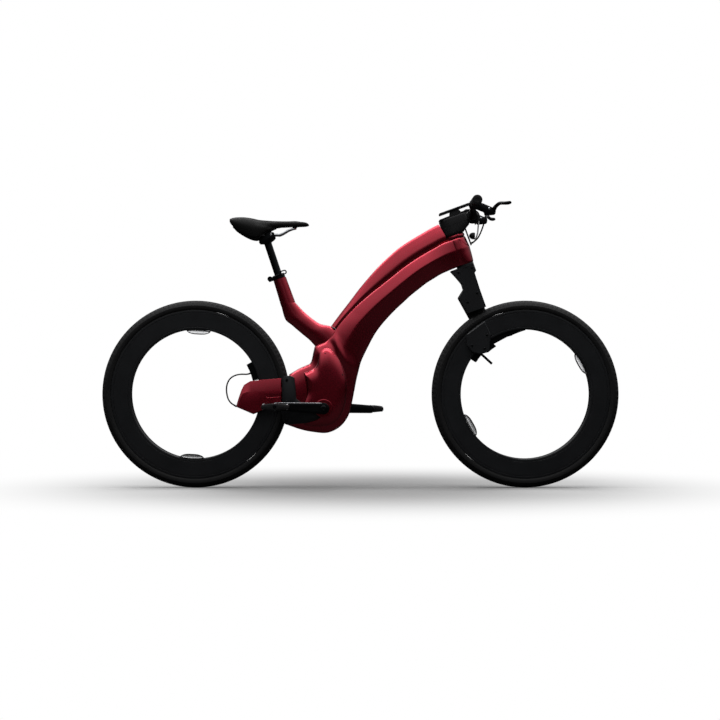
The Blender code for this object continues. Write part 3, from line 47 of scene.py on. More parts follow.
# Where the main lines of the bicycle are
ground = -0.980
tyreRadius = 0.340
rearAxle = Vector((-0.225, 0.0, ground + tyreRadius))
frontAxle = Vector((0.97229, 0.0, ground + tyreRadius))
crankAxle = Vector((0.241, 0.0, -0.690))
headLow = Vector((0.7535, 0.0, -0.169))
headTilt = math.radians(20.0)
seatTilt = math.radians(18.5)
mastTop = Vector((0.080, 0.0, -0.221))
sides = (("right", -1.0), ("left", 1.0))
steering = Matrix.Translation(headLow) @ Matrix.Rotation(-headTilt, 4, "Y")
seatTube = Matrix.Translation(mastTop) @ Matrix.Rotation(-seatTilt, 4, "Y")


def hexColour(code):
    parts = [int(code[i:i + 2], 16) / 255.0 for i in (1, 3, 5)]
    return (*[c / 12.92 if c <= 0.04045 else ((c + 0.055) / 1.055) ** 2.4 for c in parts], 1.0)


def perSize(millimetres):
    return 1000.0 / millimetres  # texture scale for a feature of that size


def addNode(tree, kind, settings=None, values=None, links=None):
    node = tree.nodes.new(kind)
    for key, value in (settings or {}).items():
        setattr(node, key, value)
    for key, value in (values or {}).items():
        node.inputs[key].default_value = value
    for key, (source, output) in (links or {}).items():
        tree.links.new(source.outputs[output], node.inputs[key])
    return node


def newMaterial(name, **values):
    material = bpy.data.materials.new(name)
    material.use_nodes = True
    tree = material.node_tree
    shader = tree.nodes["Principled BSDF"]
    for key, value in values.items():
        shader.inputs[key.replace("_", " ")].default_value = value
    place = addNode(tree, "ShaderNodeTexCoord")
    return material, tree, shader, place


def linkTo(tree, node, output, shader, socket):
    tree.links.new(node.outputs[output], shader.inputs[socket])


# Materials

def surface(tree, shader, tones, gloss, relief=None):
    # Two tones, a span of roughness and a relief of some strength and depth, each by its own pattern
    first, second, by = tones
    tone = addNode(tree, "ShaderNodeMix", {"data_type": "RGBA"},
                   {6: hexColour(first), 7: hexColour(second)}, {0: by})
    linkTo(tree, tone, 2, shader, "Base Color")
    smooth, rough, by = gloss
    spread = addNode(tree, "ShaderNodeMapRange", values={"To Min": smooth, "To Max": rough},
                     links={"Value": by})
    linkTo(tree, spread, "Result", shader, "Roughness")
    if relief:
        strength, depth, by = relief
        bump = addNode(tree, "ShaderNodeBump", values={"Strength": strength, "Distance": depth},
                       links={"Height": by})
        linkTo(tree, bump, "Normal", shader, "Normal")
    return tone


def candyPaint():
    # Aluminium flake under a tinted coat, sprayed: deep crimson with a fine glitter and wet gloss
    material, tree, shader, place = newMaterial(
        "candy paint sprayed", Metallic=0.95, Coat_Weight=0.75, Coat_Roughness=0.12, Coat_IOR=1.5)
    flake = addNode(tree, "ShaderNodeTexVoronoi", values={"Scale": perSize(1.1)},  # real flake is 0.05 mm
                    links={"Vector": (place, "Object")})
    cloud = addNode(tree, "ShaderNodeTexNoise", values={"Scale": perSize(180), "Detail": 2.0},
                    links={"Vector": (place, "Object")})
    spread = addNode(tree, "ShaderNodeMapRange", values={"From Min": 0.3, "From Max": 0.7},
                     links={"Value": (cloud, "Fac")})
    tone = surface(tree, shader, ("#a31a2f", "#b22238", (spread, "Result")),
                   (0.20, 0.30, (flake, "Distance")), (0.06, 0.0003, (flake, "Distance")))
    facing = addNode(tree, "ShaderNodeLayerWeight", values={"Blend": 0.35})
    depth = addNode(tree, "ShaderNodeMix", {"data_type": "RGBA"}, {7: hexColour("#5c0c18")},
                    {0: (facing, "Facing"), 6: (tone, 2)})
    linkTo(tree, depth, 2, shader, "Base Color")  # deeper where the tinted coat is seen aslant
    return material


def satinPaint():
    # Satin black enamel, sprayed: a very fine orange peel that breaks the highlights
    material, tree, shader, place = newMaterial("satin enamel sprayed", Specular_IOR_Level=0.22)
    peel = addNode(tree, "ShaderNodeTexNoise", values={"Scale": perSize(1.6), "Detail": 3.0},
                   links={"Vector": (place, "Object")})
    cloud = addNode(tree, "ShaderNodeTexNoise", values={"Scale": perSize(60), "Detail": 4.0},
                    links={"Vector": (place, "Object")})
    surface(tree, shader, ("#1c1d1f", "#26272a", (cloud, "Fac")), (0.36, 0.52, (cloud, "Fac")),
            (0.12, 0.0002, (peel, "Fac")))
    return material


def anodised():
    # Black anodised aluminium, bead blasted first: a dry metal sheen with a fine even grain
    material, tree, shader, place = newMaterial("anodised aluminium blasted", Metallic=1.0)
    grain = addNode(tree, "ShaderNodeTexNoise", values={"Scale": perSize(0.9), "Detail": 2.0},
                    links={"Vector": (place, "Object")})
    cloud = addNode(tree, "ShaderNodeTexNoise", values={"Scale": perSize(35), "Detail": 3.0},
                    links={"Vector": (place, "Object")})
    surface(tree, shader, ("#151617", "#1f2022", (cloud, "Fac")), (0.32, 0.46, (grain, "Fac")),
            (0.10, 0.0001, (grain, "Fac")))
    return material


def brushedAluminium():
    # Bare aluminium, brushed along its length: streaked soft reflections
    material, tree, shader, place = newMaterial("aluminium brushed", Metallic=1.0, Anisotropic=0.5)
    stretch = addNode(tree, "ShaderNodeMapping", values={"Scale": (0.05, 1.0, 1.0)},
                      links={"Vector": (place, "Object")})
    lines = addNode(tree, "ShaderNodeTexNoise", values={"Scale": perSize(0.7), "Detail": 4.0},
                    links={"Vector": (stretch, "Vector")})
    surface(tree, shader, ("#9a9da1", "#c3c6ca", (lines, "Fac")), (0.20, 0.38, (lines, "Fac")))
    return material


def mouldedAbs():
    # Black ABS from a spark-eroded mould: matte with a fine leathery texture
    material, tree, shader, place = newMaterial("ABS moulded", Specular_IOR_Level=0.2, IOR=1.53)
    texture = addNode(tree, "ShaderNodeTexVoronoi", {"feature": "SMOOTH_F1"}, {"Scale": perSize(0.9)},
                      {"Vector": (place, "Object")})
    cloud = addNode(tree, "ShaderNodeTexNoise", values={"Scale": perSize(25), "Detail": 3.0},
                    links={"Vector": (place, "Object")})
    surface(tree, shader, ("#121213", "#1a1a1c", (cloud, "Fac")), (0.50, 0.64, (cloud, "Fac")),
            (0.25, 0.0002, (texture, "Distance")))
    return material


def hoseSheath():
    # Polyamide hose, extruded: smooth and slightly waxy
    material, tree, shader, place = newMaterial("polyamide extruded", Specular_IOR_Level=0.35, IOR=1.53)
    cloud = addNode(tree, "ShaderNodeTexNoise", values={"Scale": perSize(14), "Detail": 2.0},
                    links={"Vector": (place, "Object")})
    surface(tree, shader, ("#0f0f10", "#151516", (cloud, "Fac")), (0.34, 0.48, (cloud, "Fac")))
    return material


def tyreRubber():
    # Carbon-black rubber, vulcanised in a mould: dry black with faint dusty patches
    material, tree, shader, place = newMaterial("rubber vulcanised", Specular_IOR_Level=0.18, IOR=1.52)
    grain = addNode(tree, "ShaderNodeTexNoise", values={"Scale": perSize(1.2), "Detail": 4.0},
                    links={"Vector": (place, "Object")})
    dust = addNode(tree, "ShaderNodeTexNoise", values={"Scale": perSize(70), "Detail": 5.0},
                   links={"Vector": (place, "Object")})
    patch = addNode(tree, "ShaderNodeMapRange", values={"From Min": 0.35, "From Max": 0.75},
                    links={"Value": (dust, "Fac")})
    surface(tree, shader, ("#141415", "#1e1e1f", (patch, "Result")), (0.62, 0.80, (dust, "Fac")),
            (0.2, 0.0003, (grain, "Fac")))
    return material


def gripRubber():
    # Soft thermoplastic rubber, injection moulded: velvety black
    material, tree, shader, place = newMaterial("soft rubber moulded", Specular_IOR_Level=0.2,
                                                Sheen_Weight=0.05)
    grain = addNode(tree, "ShaderNodeTexNoise", values={"Scale": perSize(0.8), "Detail": 3.0},
                    links={"Vector": (place, "Object")})
    surface(tree, shader, ("#111112", "#1b1b1c", (grain, "Fac")), (0.60, 0.76, (grain, "Fac")),
            (0.3, 0.0002, (grain, "Fac")))
    return material


def artificialLeather():
    # Polyurethane leather, embossed and stretched: small pebbles with a low sheen
    material, tree, shader, place = newMaterial("artificial leather embossed", Specular_IOR_Level=0.09)
    pebble = addNode(tree, "ShaderNodeTexVoronoi", {"feature": "SMOOTH_F1"}, {"Scale": perSize(1.6)},
                     {"Vector": (place, "Object")})
    cloud = addNode(tree, "ShaderNodeTexNoise", values={"Scale": perSize(45), "Detail": 3.0},
                    links={"Vector": (place, "Object")})
    surface(tree, shader, ("#090909", "#101010", (cloud, "Fac")), (0.48, 0.66, (pebble, "Distance")),
            (0.35, 0.0003, (pebble, "Distance")))
    return material


def coverGlass():
    # Toughened glass over a dark display, polished: a clean black mirror
    material, tree, shader, place = newMaterial("toughened glass polished", Coat_Weight=0.6,
                                                Coat_Roughness=0.03)
    smear = addNode(tree, "ShaderNodeTexNoise", values={"Scale": perSize(30), "Detail": 3.0},
                    links={"Vector": (place, "Object")})
    surface(tree, shader, ("#0b0c0e", "#131519", (smear, "Fac")), (0.06, 0.16, (smear, "Fac")))
    return material


def reflectorLens():
    # Clear acrylic, moulded with corner cubes: bright and nearly see-through, with a fine grid
    material, tree, shader, place = newMaterial("acrylic reflector moulded", Specular_IOR_Level=0.5,
                                                IOR=1.49, Transmission_Weight=0.9)
    prism = addNode(tree, "ShaderNodeTexVoronoi", {"distance": "CHEBYCHEV"},
                    {"Scale": perSize(2.4), "Randomness": 0.0}, {"Vector": (place, "Object")})
    surface(tree, shader, ("#fbfbfc", "#e9ebee", (prism, "Distance")), (0.12, 0.3, (prism, "Distance")),
            (0.4, 0.0005, (prism, "Distance")))
    return material


finishes = {"frame_paint": candyPaint(), "black_paint": satinPaint(), "dark_aluminium": anodised(),
            "bright_aluminium": brushedAluminium(), "black_plastic": mouldedAbs(), "hose": hoseSheath(),
            "tyre": tyreRubber(), "grip_rubber": gripRubber(), "saddle_skin": artificialLeather(),
            "screen": coverGlass(), "reflector": reflectorLens()}
print("materials made:", len(finishes))


# Mesh making

def dense(rows, steps):
    # Smooth curve through rows of numbers
    made = []
    for index in range(len(rows) - 1):
        here, there = rows[index], rows[index + 1]
        before, after = rows[max(index - 1, 0)], rows[min(index + 2, len(rows) - 1)]
        for step in range(steps):
            t = step / steps
            made.append([0.5 * (2 * b + (c - a) * t + (2 * a - 5 * b + 4 * c - d) * t * t
                                + (3 * b - a - 3 * c + d) * t ** 3)
                         for a, b, c, d in zip(before, here, there, after)])
    made.append(list(rows[-1]))
    return made


def loft(loops, wrap=False):
    # Closed body through loops of points, with flat ends unless it wraps round
    mesh = bmesh.new()
    rows = [[mesh.verts.new(point) for point in loop] for loop in loops]
    for index in range(len(rows) if wrap else len(rows) - 1):
        here, there = rows[index], rows[(index + 1) % len(rows)]
        for k in range(len(here)):
            n = (k + 1) % len(here)
            mesh.faces.new((here[k], here[n], there[n], there[k]))
    if not wrap:
        mesh.faces.new(rows[0][::-1])
        mesh.faces.new(rows[-1])
    return mesh


def rod(radius, low, high, core=0.001):
    # Profile of a plain round bar, for a lathe or a bore
    return [(core, low), (radius, low), (radius, high), (core, high)]


def arc(x, y, radius, first, step, count):
    # Points on a circle about (x, y), with the angles in degrees
    return [(x + radius * math.cos(math.radians(first + step * i)),
             y + radius * math.sin(math.radians(first + step * i))) for i in range(count)]


def lathe(profile, segments, centre=(0.0, 0.0, 0.0), change=None):
    # Full turn of a closed (radius, along) profile about Y
    loops = []
    for step in range(segments):
        angle = 2.0 * math.pi * step / segments
        loop = []
        for index, (radius, along) in enumerate(profile):
            if change:
                radius, along = change(step, index, radius, along)
            loop.append((centre[0] + radius * math.cos(angle), centre[1] + along,
                         centre[2] + radius * math.sin(angle)))
        loops.append(loop)
    return loft(loops, wrap=True)


def newObject(name, mesh):
    data = bpy.data.meshes.new(name)
    mesh.to_mesh(data)
    mesh.free()
    made = bpy.data.objects.new(name, data)
    bpy.context.scene.collection.objects.link(made)
    return made


def makePiece(name, mesh, finish, body, replaces=(), sharp=32.0):
    # Sharp is the angle in degrees above which an edge shows
    bmesh.ops.recalc_face_normals(mesh, faces=mesh.faces)
    piece = newObject(name, mesh)
    piece.data.shade_smooth()
    piece.data.set_sharp_from_angle(angle=math.radians(sharp))
    piece.data.materials.append(finishes[finish])
    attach(piece, body)
    if replaces:
        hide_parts(*replaces)
    return piece


def modify(piece, kind, **settings):
    modifier = piece.modifiers.new(kind.lower(), kind)
    for key, value in settings.items():
        setattr(modifier, key, value)
    return modifier


def settle(piece):
    # Modifiers applied to the piece's own mesh
    bpy.context.view_layer.update()
    graph = bpy.context.evaluated_depsgraph_get()
    result = bpy.data.meshes.new_from_object(piece.evaluated_get(graph))
    piece.modifiers.clear()
    piece.data = result
    result.shade_smooth()


def cutWith(piece, mesh, operation="DIFFERENCE"):
    # Boolean with a throwaway tool, applied at once
    bmesh.ops.recalc_face_normals(mesh, faces=mesh.faces)
    tool = newObject("tool", mesh)
    modify(piece, "BOOLEAN", operation=operation, solver="EXACT", object=tool)
    settle(piece)
    piece.data.set_sharp_from_angle(angle=math.radians(32.0))
    bpy.data.objects.remove(tool)


# CAD nodes that keep their shape: welded, with small rounded edges, in their finish
slotOf = {part["node"]: part["material_slot"] for part in frame["record"]["subparts"]}
edgeWidth = {"fork_leg": 0.0014, "fork_crown": 0.0016, "rear_arm": 0.0016, "front_caliper": 0.0012,
             "rear_caliper": 0.0012}
for name in ("main_frame", "top_rail", "saddle_pad", "brake_hose_right", "brake_hose_left", "rear_brake_hose",
             "saddle_rails"):
    edgeWidth[name] = 0.0  # each of these is replaced below
for name, node in nodes.items():
    node.data.materials.clear()
    node.data.materials.append(finishes[slotOf[name]])
    width = edgeWidth.get(name, 0.0008)
    if width:
        modify(node, "WELD", merge_threshold=0.00002)
        modify(node, "BEVEL", width=width, segments=2, limit_method="ANGLE", angle_limit=math.radians(35.0),
               harden_normals=False)
print("CAD nodes dressed:", len(nodes))


# Tyres: rounded road tread with two centre grooves and short side cuts
tyre = {"blocks": 120, "grooveDepth": 0.0022, "stepsPerBlock": 4}


def tyreProfile():
    # One side from the bead to the crown, then mirrored
    side = [(0.3066, 0.0258), (0.3085, 0.0275), (0.3130, 0.0291), (0.3180, 0.0297), (0.3215, 0.0296),
            (0.3222, 0.0290), (0.3229, 0.0288), (0.3236, 0.0281), (0.3270, 0.0262), (0.3302, 0.0238),
            (0.3332, 0.0208), (0.3358, 0.0172), (0.3377, 0.0134), (0.3389, 0.0098), (0.3392, 0.0088),
            (0.3371, 0.0080), (0.3371, 0.0066), (0.3396, 0.0058), (0.3399, 0.0030), (0.3400, 0.0)]
    return side + [(radius, -along) for radius, along in reversed(side[:-1])]


def makeTyre(prefix, axle):
    profile = tyreProfile()
    steps = tyre["stepsPerBlock"]
    middle = (len(profile) - 1) / 2

    def tread(step, index, radius, along):
        # Slanted cuts across the tread's shoulders, one for each block
        away = abs(index - middle)
        shift = 1 if away < 8 else 0
        if 5 <= away <= 11 and (step + shift) % steps == 0:
            radius -= tyre["grooveDepth"] * (0.9 if away < 11 else 0.5)
        return radius, along

    mesh = lathe(profile, tyre["blocks"] * steps, axle, tread)
    return makePiece(prefix + "TyreDetailed", mesh, "tyre", prefix + "_wheel", (prefix + "_tyre",), sharp=28.0)


for prefix, axle in (("front", frontAxle), ("rear", rearAxle)):
    makeTyre(prefix, axle)
print("tyres made")


# Frame: one welded shell of beam, drive casing, head and seat mast, with the top rail lying on it
beam = {
    "reach": 0.5125, "stack": 0.521, "headLength": 0.0995, "headRadius": 0.039, "steps": 9, "wheelRoom": 0.3475,
    "half": 0.034, "casingHalf": 0.036, "mastHalf": 0.021, "railHalf": 0.0265, "railTaper": 0.007,
    "groove": [(0.847, 1.148), (0.784, 1.115), (0.718, 1.081), (0.642, 1.035), (0.564, 0.981), (0.488, 0.921),
               (0.412, 0.862), (0.340, 0.806), (0.269, 0.747), (0.195, 0.678), (0.133, 0.614), (0.088, 0.557),
               (0.055, 0.505)],
    "belly": [(0.898, 0.964), (0.833, 0.935), (0.781, 0.904), (0.726, 0.870), (0.673, 0.829), (0.619, 0.787),
              (0.564, 0.737), (0.509, 0.687), (0.457, 0.634), (0.406, 0.576), (0.359, 0.511), (0.308, 0.417),
              (0.265, 0.326)],
    "railTop": [(0.802, 1.275), (0.745, 1.246), (0.681, 1.209), (0.609, 1.167), (0.531, 1.115), (0.461, 1.056),
                (0.386, 0.985), (0.314, 0.906), (0.246, 0.825), (0.174, 0.731), (0.109, 0.649), (0.066, 0.591),
                (0.035, 0.549)],
    "casingTop": [(0.008, 0.461), (-0.057, 0.436), (-0.072, 0.399), (-0.092, 0.319), (-0.129, 0.296),
                  (-0.166, 0.280), (-0.207, 0.257), (-0.250, 0.230), (-0.293, 0.192), (-0.332, 0.115)],
    "casingBelly": [(0.246, 0.259), (0.230, 0.194), (0.213, 0.106), (0.195, 0.019), (0.170, -0.061),
                    (0.113, -0.132), (0.027, -0.173), (-0.070, -0.169), (-0.166, -0.150), (-0.269, -0.115)],
    "mastDepths": [(0.0, 0.047), (0.050, 0.050), (0.095, 0.053)],
    "mastFront": [(-0.105, 0.384), (-0.076, 0.353), (-0.047, 0.328), (-0.014, 0.306), (0.026, 0.296),
                  (0.070, 0.270)],
    "mastRear": [(-0.156, 0.375), (-0.141, 0.323), (-0.116, 0.300), (-0.081, 0.270), (-0.046, 0.240),
                 (-0.005, 0.190)],
    # Share of the way from the upper to the lower edge, share of the half width
    "headSection": [(0.0, 0.80), (0.012, 0.86), (0.05, 0.92), (0.14, 0.950), (0.27, 0.975), (0.39, 0.997),
                    (0.43, 1.0), (0.47, 0.994), (0.56, 0.975), (0.70, 0.95), (0.85, 0.91), (0.94, 0.88),
                    (0.985, 0.85), (1.0, 0.79)],
    "beamSection": [(0.0, 0.48), (0.012, 0.60), (0.05, 0.69), (0.14, 0.785), (0.27, 0.90), (0.39, 0.99),
                    (0.43, 1.0), (0.47, 0.985), (0.56, 0.90), (0.70, 0.765), (0.85, 0.60), (0.94, 0.48),
                    (0.985, 0.36), (1.0, 0.20)],
    "casingSection": [(0.0, 0.45), (0.012, 0.66), (0.05, 0.84), (0.14, 0.955), (0.27, 1.0), (0.39, 0.994),
                      (0.45, 0.986), (0.52, 0.973), (0.62, 0.935), (0.74, 0.86), (0.86, 0.74), (0.94, 0.60),
                      (0.985, 0.44), (1.0, 0.25)],
    "railSection": [(0.0, 0.30), (0.03, 0.44), (0.11, 0.56), (0.24, 0.68), (0.42, 0.83), (0.62, 0.96),
                    (0.74, 1.0), (0.90, 0.96), (0.985, 0.84), (1.0, 0.70)],
    "mastSection": [(0.0, 0.36), (0.03, 0.54), (0.10, 0.72), (0.22, 0.88), (0.36, 0.97), (0.52, 1.0),
                    (0.70, 0.95), (0.87, 0.80), (0.97, 0.58), (1.0, 0.38)],
}

# Soft forms on the casing's sides: place from the crank axis, heading, length and width, height
casingForms = [
    {"at": (-0.003, 0.186), "heading": -48.0, "long": 0.036, "wide": 0.019, "height": 0.0062},
    {"at": (0.050, 0.232), "heading": -70.0, "long": 0.060, "wide": 0.011, "height": 0.0036},
    {"at": (0.066, 0.190), "heading": -64.0, "long": 0.040, "wide": 0.010, "height": 0.0022},
    {"at": (0.022, 0.236), "heading": -62.0, "long": 0.040, "wide": 0.013, "height": -0.0050},
]


def byFrame(u, v):
    return crankAxle.x + u * beam["reach"], crankAxle.z + v * beam["stack"]


def byCrank(dx, dz):
    return crankAxle.x + dx, crankAxle.z + dz


def byHead(forward, up):
    c, s = math.cos(headTilt), math.sin(headTilt)
    return headLow.x + forward * c - up * s, headLow.z + forward * s + up * c


def smoothShare(value, low, high):
    t = min(max((value - low) / (high - low), 0.0), 1.0)
    return t * t * (3 - 2 * t)


def sideForm(x, z):
    # How far the casing's side stands out at this place
    total = 0.0
    for form in casingForms:
        dx, dz = x - crankAxle.x - form["at"][0], z - crankAxle.z - form["at"][1]
        turn = math.radians(form["heading"])
        along = dx * math.cos(turn) + dz * math.sin(turn)
        across = -dx * math.sin(turn) + dz * math.cos(turn)
        total += form["height"] * math.exp(-(along / form["long"]) ** 2 - (across / form["wide"]) ** 2)
    return total


def ribbonMesh(rows, sections, form=None):
    # Rows are (upper x, z, lower x, z, half width, place in the list of sections)
    curves = [dense(section, 3) for section in sections]
    loops = []
    for ux, uz, lx, lz, half, place in rows:
        first = min(int(place), len(curves) - 1)
        second = min(first + 1, len(curves) - 1)
        side = []
        for (t0, w0), (t1, w1) in zip(curves[first], curves[second]):
            share = place - first
            t, w = t0 + (t1 - t0) * share, w0 + (w1 - w0) * share
            x, z, y = ux + (lx - ux) * t, uz + (lz - uz) * t, half * w
            if form:
                y += form(x, z) * smoothShare(w, 0.6, 0.95)
            side.append((x, y, z))
        loops.append([(x, -y, z) for x, y, z in side] + [(x, y, z) for x, y, z in reversed(side)])
    return loft(loops)


def bodyRows():
    rows = [[*byHead(-0.006, beam["headLength"] - 0.0015), *byHead(-0.006, 0.002), beam["half"] * 1.06, 0.0]]
    last = len(beam["groove"]) - 1
    for index, (upper, lower) in enumerate(zip(beam["groove"], beam["belly"])):
        width = beam["half"] * (1.0 + 0.06 * (1.0 - index / last))
        place = min(1.0, 0.34 * (index + 1)) + max(0.0, 0.2 * (index - last + 3))
        rows.append([*byFrame(*upper), *byFrame(*lower), width, place])
    for upper, lower in zip(beam["casingTop"], beam["casingBelly"]):
        rows.append([*byFrame(*upper), *byFrame(*lower), beam["casingHalf"], 2.0])
    return dense(rows, beam["steps"])


def mastRows(grow=0.0, back=0.0):
    rows = []
    c, s = math.cos(seatTilt), math.sin(seatTilt)
    for down, depth in beam["mastDepths"]:
        x, z = mastTop.x + down * s, mastTop.z - down * c
        rows.append([x + 0.5 * depth * c, z + 0.5 * depth * s, x - 0.5 * depth * c, z - 0.5 * depth * s])
    for front, rear in zip(beam["mastFront"], beam["mastRear"]):
        rows.append([*byCrank(*front), *byCrank(*rear)])
    grown = []
    for fx, fz, rx, rz in rows:
        out = Vector((fx - rx, fz - rz)).normalized()
        ahead, behind = out * grow, out * (grow + back)
        grown.append([fx + ahead.x, fz + ahead.y, rx - behind.x, rz - behind.y, beam["mastHalf"] + grow, 0.0])
    return dense(grown, beam["steps"])


def moved(mesh, matrix):
    bmesh.ops.transform(mesh, matrix=matrix, verts=mesh.verts)
    return mesh


def alongHead(mesh):
    # From the head's own axes, with Y up the head, to the world
    return moved(mesh, steering @ Matrix.Rotation(math.radians(90), 4, "X"))


def alongSeat(mesh):
    return moved(mesh, seatTube @ Matrix.Rotation(math.radians(90), 4, "X"))


def turned(profile, segments=64):
    # Solid or hollow turned body from a closed (radius, height) profile
    mesh = lathe(profile, segments)
    bmesh.ops.remove_doubles(mesh, verts=mesh.verts, dist=1e-6)
    bmesh.ops.dissolve_degenerate(mesh, dist=1e-6, edges=mesh.edges)
    return mesh


def discMesh(radius, low, high, segments, centre):
    loops = [[(centre.x + radius * math.cos(2 * math.pi * i / segments), y,
               centre.z + radius * math.sin(2 * math.pi * i / segments)) for i in range(segments)]
             for y in (low, high)]
    return loft(loops)


def makeFrame():
    sections = (beam["headSection"], beam["beamSection"], beam["casingSection"])
    shell = makePiece("frameShell", ribbonMesh(bodyRows(), sections, sideForm), "frame_paint", "frame",
                      ("main_frame",))
    r, length = beam["headRadius"], beam["headLength"]
    outside = [(r * w, length * (1.0 - t)) for t, w in dense(beam["headSection"], 2)]
    profile = [(0.012, length)] + outside + [(0.012, 0.0)]
    cutWith(shell, alongHead(turned(profile, 96)), "UNION")
    cutWith(shell, ribbonMesh(mastRows(), (beam["mastSection"],)), "UNION")
    cutWith(shell, discMesh(beam["wheelRoom"], -0.08, 0.08, 160, rearAxle))

    tops = [list(byHead(-0.012, 0.170))] + [list(byFrame(*point)) for point in beam["railTop"]]
    rows = []
    for index, (top, row) in enumerate(zip(dense(tops, beam["steps"]), bodyRows())):
        away = Vector((top[0] - row[0], top[1] - row[1])).normalized() * 0.0006
        half = beam["railHalf"] - beam["railTaper"] * index / len(tops) / beam["steps"]
        rows.append([*top, row[0] + away.x, row[1] + away.y, half, 0.0])
    rail = makePiece("topRail", ribbonMesh(rows, (beam["railSection"],)), "frame_paint", "frame", ("top_rail",))
    cutWith(rail, ribbonMesh(mastRows(0.0006, 0.08), ([(0.0, 1.0), (0.3, 1.0), (0.7, 1.0), (1.0, 1.0)],)))
    low, high = length + 0.0006, 0.1115
    cutWith(rail, alongHead(turned(rod(0.042, 0.108, 0.32, 0.0), 96)))
    edge = r * 0.86
    collar = turned([(0.012, low), (edge, low), (edge + 0.0018, low + 0.0007), (edge + 0.0025, low + 0.0025),
                     (edge + 0.0025, high - 0.0025), (edge + 0.0018, high - 0.0007), (edge, high),
                     (0.012, high)], 96)
    cutWith(rail, alongHead(collar), "UNION")


makeFrame()
print("frame made")


def joined(*meshes):
    # Several closed shells in one mesh
    whole = bmesh.new()
    for mesh in meshes:
        data = bpy.data.meshes.new("part")
        mesh.to_mesh(data)
        mesh.free()
        whole.from_mesh(data)
        bpy.data.meshes.remove(data)
    return whole


def plate(outline, low, high, edge=0.0):
    # Flat plate of (x, z) points between two places along Y, with its rims drawn in by an edge
    if not edge:
        return loft([[(x, y, z) for x, z in outline] for y in (low, high)])
    drawn = []
    for share, y in ((1.0, low), (0.3, low + 0.3 * edge), (0.0, low + edge), (0.0, high - edge),
                     (0.3, high - 0.3 * edge), (1.0, high)):
        drawn.append([(x, y, z) for x, z in shrunk(outline, share * edge)])
    return loft(drawn)


def shrunk(outline, by):
    # Outline with each side moved inward by the same distance
    area = sum(a[0] * b[1] - b[0] * a[1] for a, b in zip(outline, outline[1:] + outline[:1]))
    turn = -by if area > 0.0 else by
    made = []
    for before, here, after in zip(outline[-1:] + outline[:-1], outline, outline[1:] + outline[:1]):
        first = Vector((here[0] - before[0], here[1] - before[1])).normalized()
        second = Vector((after[0] - here[0], after[1] - here[1])).normalized()
        normal = Vector((first.y + second.y, -first.x - second.x))
        normal *= turn / max(0.5 * normal.length_squared, 0.25)
        made.append((here[0] + normal.x, here[1] + normal.y))
    return made


def rounded(outline, steps=3):
    return [tuple(point) for point in dense(outline + outline[:1], steps)[:-1]]


def softened(outline, radius, steps=4):
    # Outline with its corners turned into small arcs
    made = []
    for before, here, after in zip(outline[-1:] + outline[:-1], outline, outline[1:] + outline[:1]):
        back = Vector((before[0] - here[0], before[1] - here[1]))
        ahead = Vector((after[0] - here[0], after[1] - here[1]))
        reach = min(radius, 0.45 * back.length, 0.45 * ahead.length)
        corner = Vector(here)
        start, end = corner + back.normalized() * reach, corner + ahead.normalized() * reach
        for step in range(steps + 1):
            t = step / steps
            made.append(tuple(start * (1 - t) ** 2 + corner * 2 * t * (1 - t) + end * t * t))
    return made


def tube(points, radii, segments=14, steps=6):
    # Round tube along a smooth curve; radii are (share of its length, radius)
    path = [Vector(p) for p in dense(points, steps)]
    lengths = [0.0]
    for a, b in zip(path, path[1:]):
        lengths.append(lengths[-1] + (b - a).length)
    loops = []
    side = Vector((0.0, 1.0, 0.0))
    for index, point in enumerate(path):
        along = (path[min(index + 1, len(path) - 1)] - path[max(index - 1, 0)]).normalized()
        side = (side - along * side.dot(along))
        side = side.normalized() if side.length > 1e-6 else along.orthogonal().normalized()
        across = along.cross(side)
        share = lengths[index] / lengths[-1]
        radius = radii[-1][1]
        for (s0, r0), (s1, r1) in zip(radii, radii[1:]):
            if s0 <= share <= s1:
                radius = r0 + (r1 - r0) * (share - s0) / max(s1 - s0, 1e-6)
                break
        loops.append([tuple(point + side * radius * math.cos(a) + across * radius * math.sin(a))
                      for a in (2 * math.pi * k / segments for k in range(segments))])
    return loft(loops)


def boltMesh(place, radius, height, direction=(0.0, -1.0, 0.0)):
    # Button-head bolt with a six-sided socket, its head standing along a direction
    rings = []
    for share, up, sides in ((1.0, 0.0, 24), (1.0, 0.45, 24), (0.93, 0.72, 24), (0.78, 0.93, 24),
                             (0.62, 1.0, 24), (0.50, 1.0, 6), (0.46, 0.9, 6), (0.46, 0.35, 6)):
        ring = []
        for k in range(24):
            a = 2 * math.pi * k / 24
            r = radius * share
            if sides == 6:
                r *= math.cos(math.pi / 6) / math.cos((a % (math.pi / 3)) - math.pi / 6)
            ring.append((r * math.cos(a), r * math.sin(a), height * up))
        rings.append(ring)
    mesh = loft(rings)
    turn = Vector(direction).to_track_quat("Z", "Y").to_matrix().to_4x4()
    return moved(mesh, Matrix.Translation(place) @ turn)


def addShell(piece, mesh):
    # Another closed shell in the same piece
    bmesh.ops.recalc_face_normals(mesh, faces=mesh.faces)
    both = bmesh.new()
    both.from_mesh(piece.data)
    extra = bpy.data.meshes.new("shell")
    mesh.to_mesh(extra)
    mesh.free()
    both.from_mesh(extra)
    both.to_mesh(piece.data)
    both.free()
    bpy.data.meshes.remove(extra)
    piece.data.shade_smooth()
    piece.data.set_sharp_from_angle(angle=math.radians(35.0))


# Rims: a spun channel with a rolled inner lip, and the ring that stands still inside it
rim = {"opening": 0.235, "half": 0.026, "flange": 0.006, "ringInset": 0.001, "ringHalf": 0.0135,
       "ringTop": 0.2834}


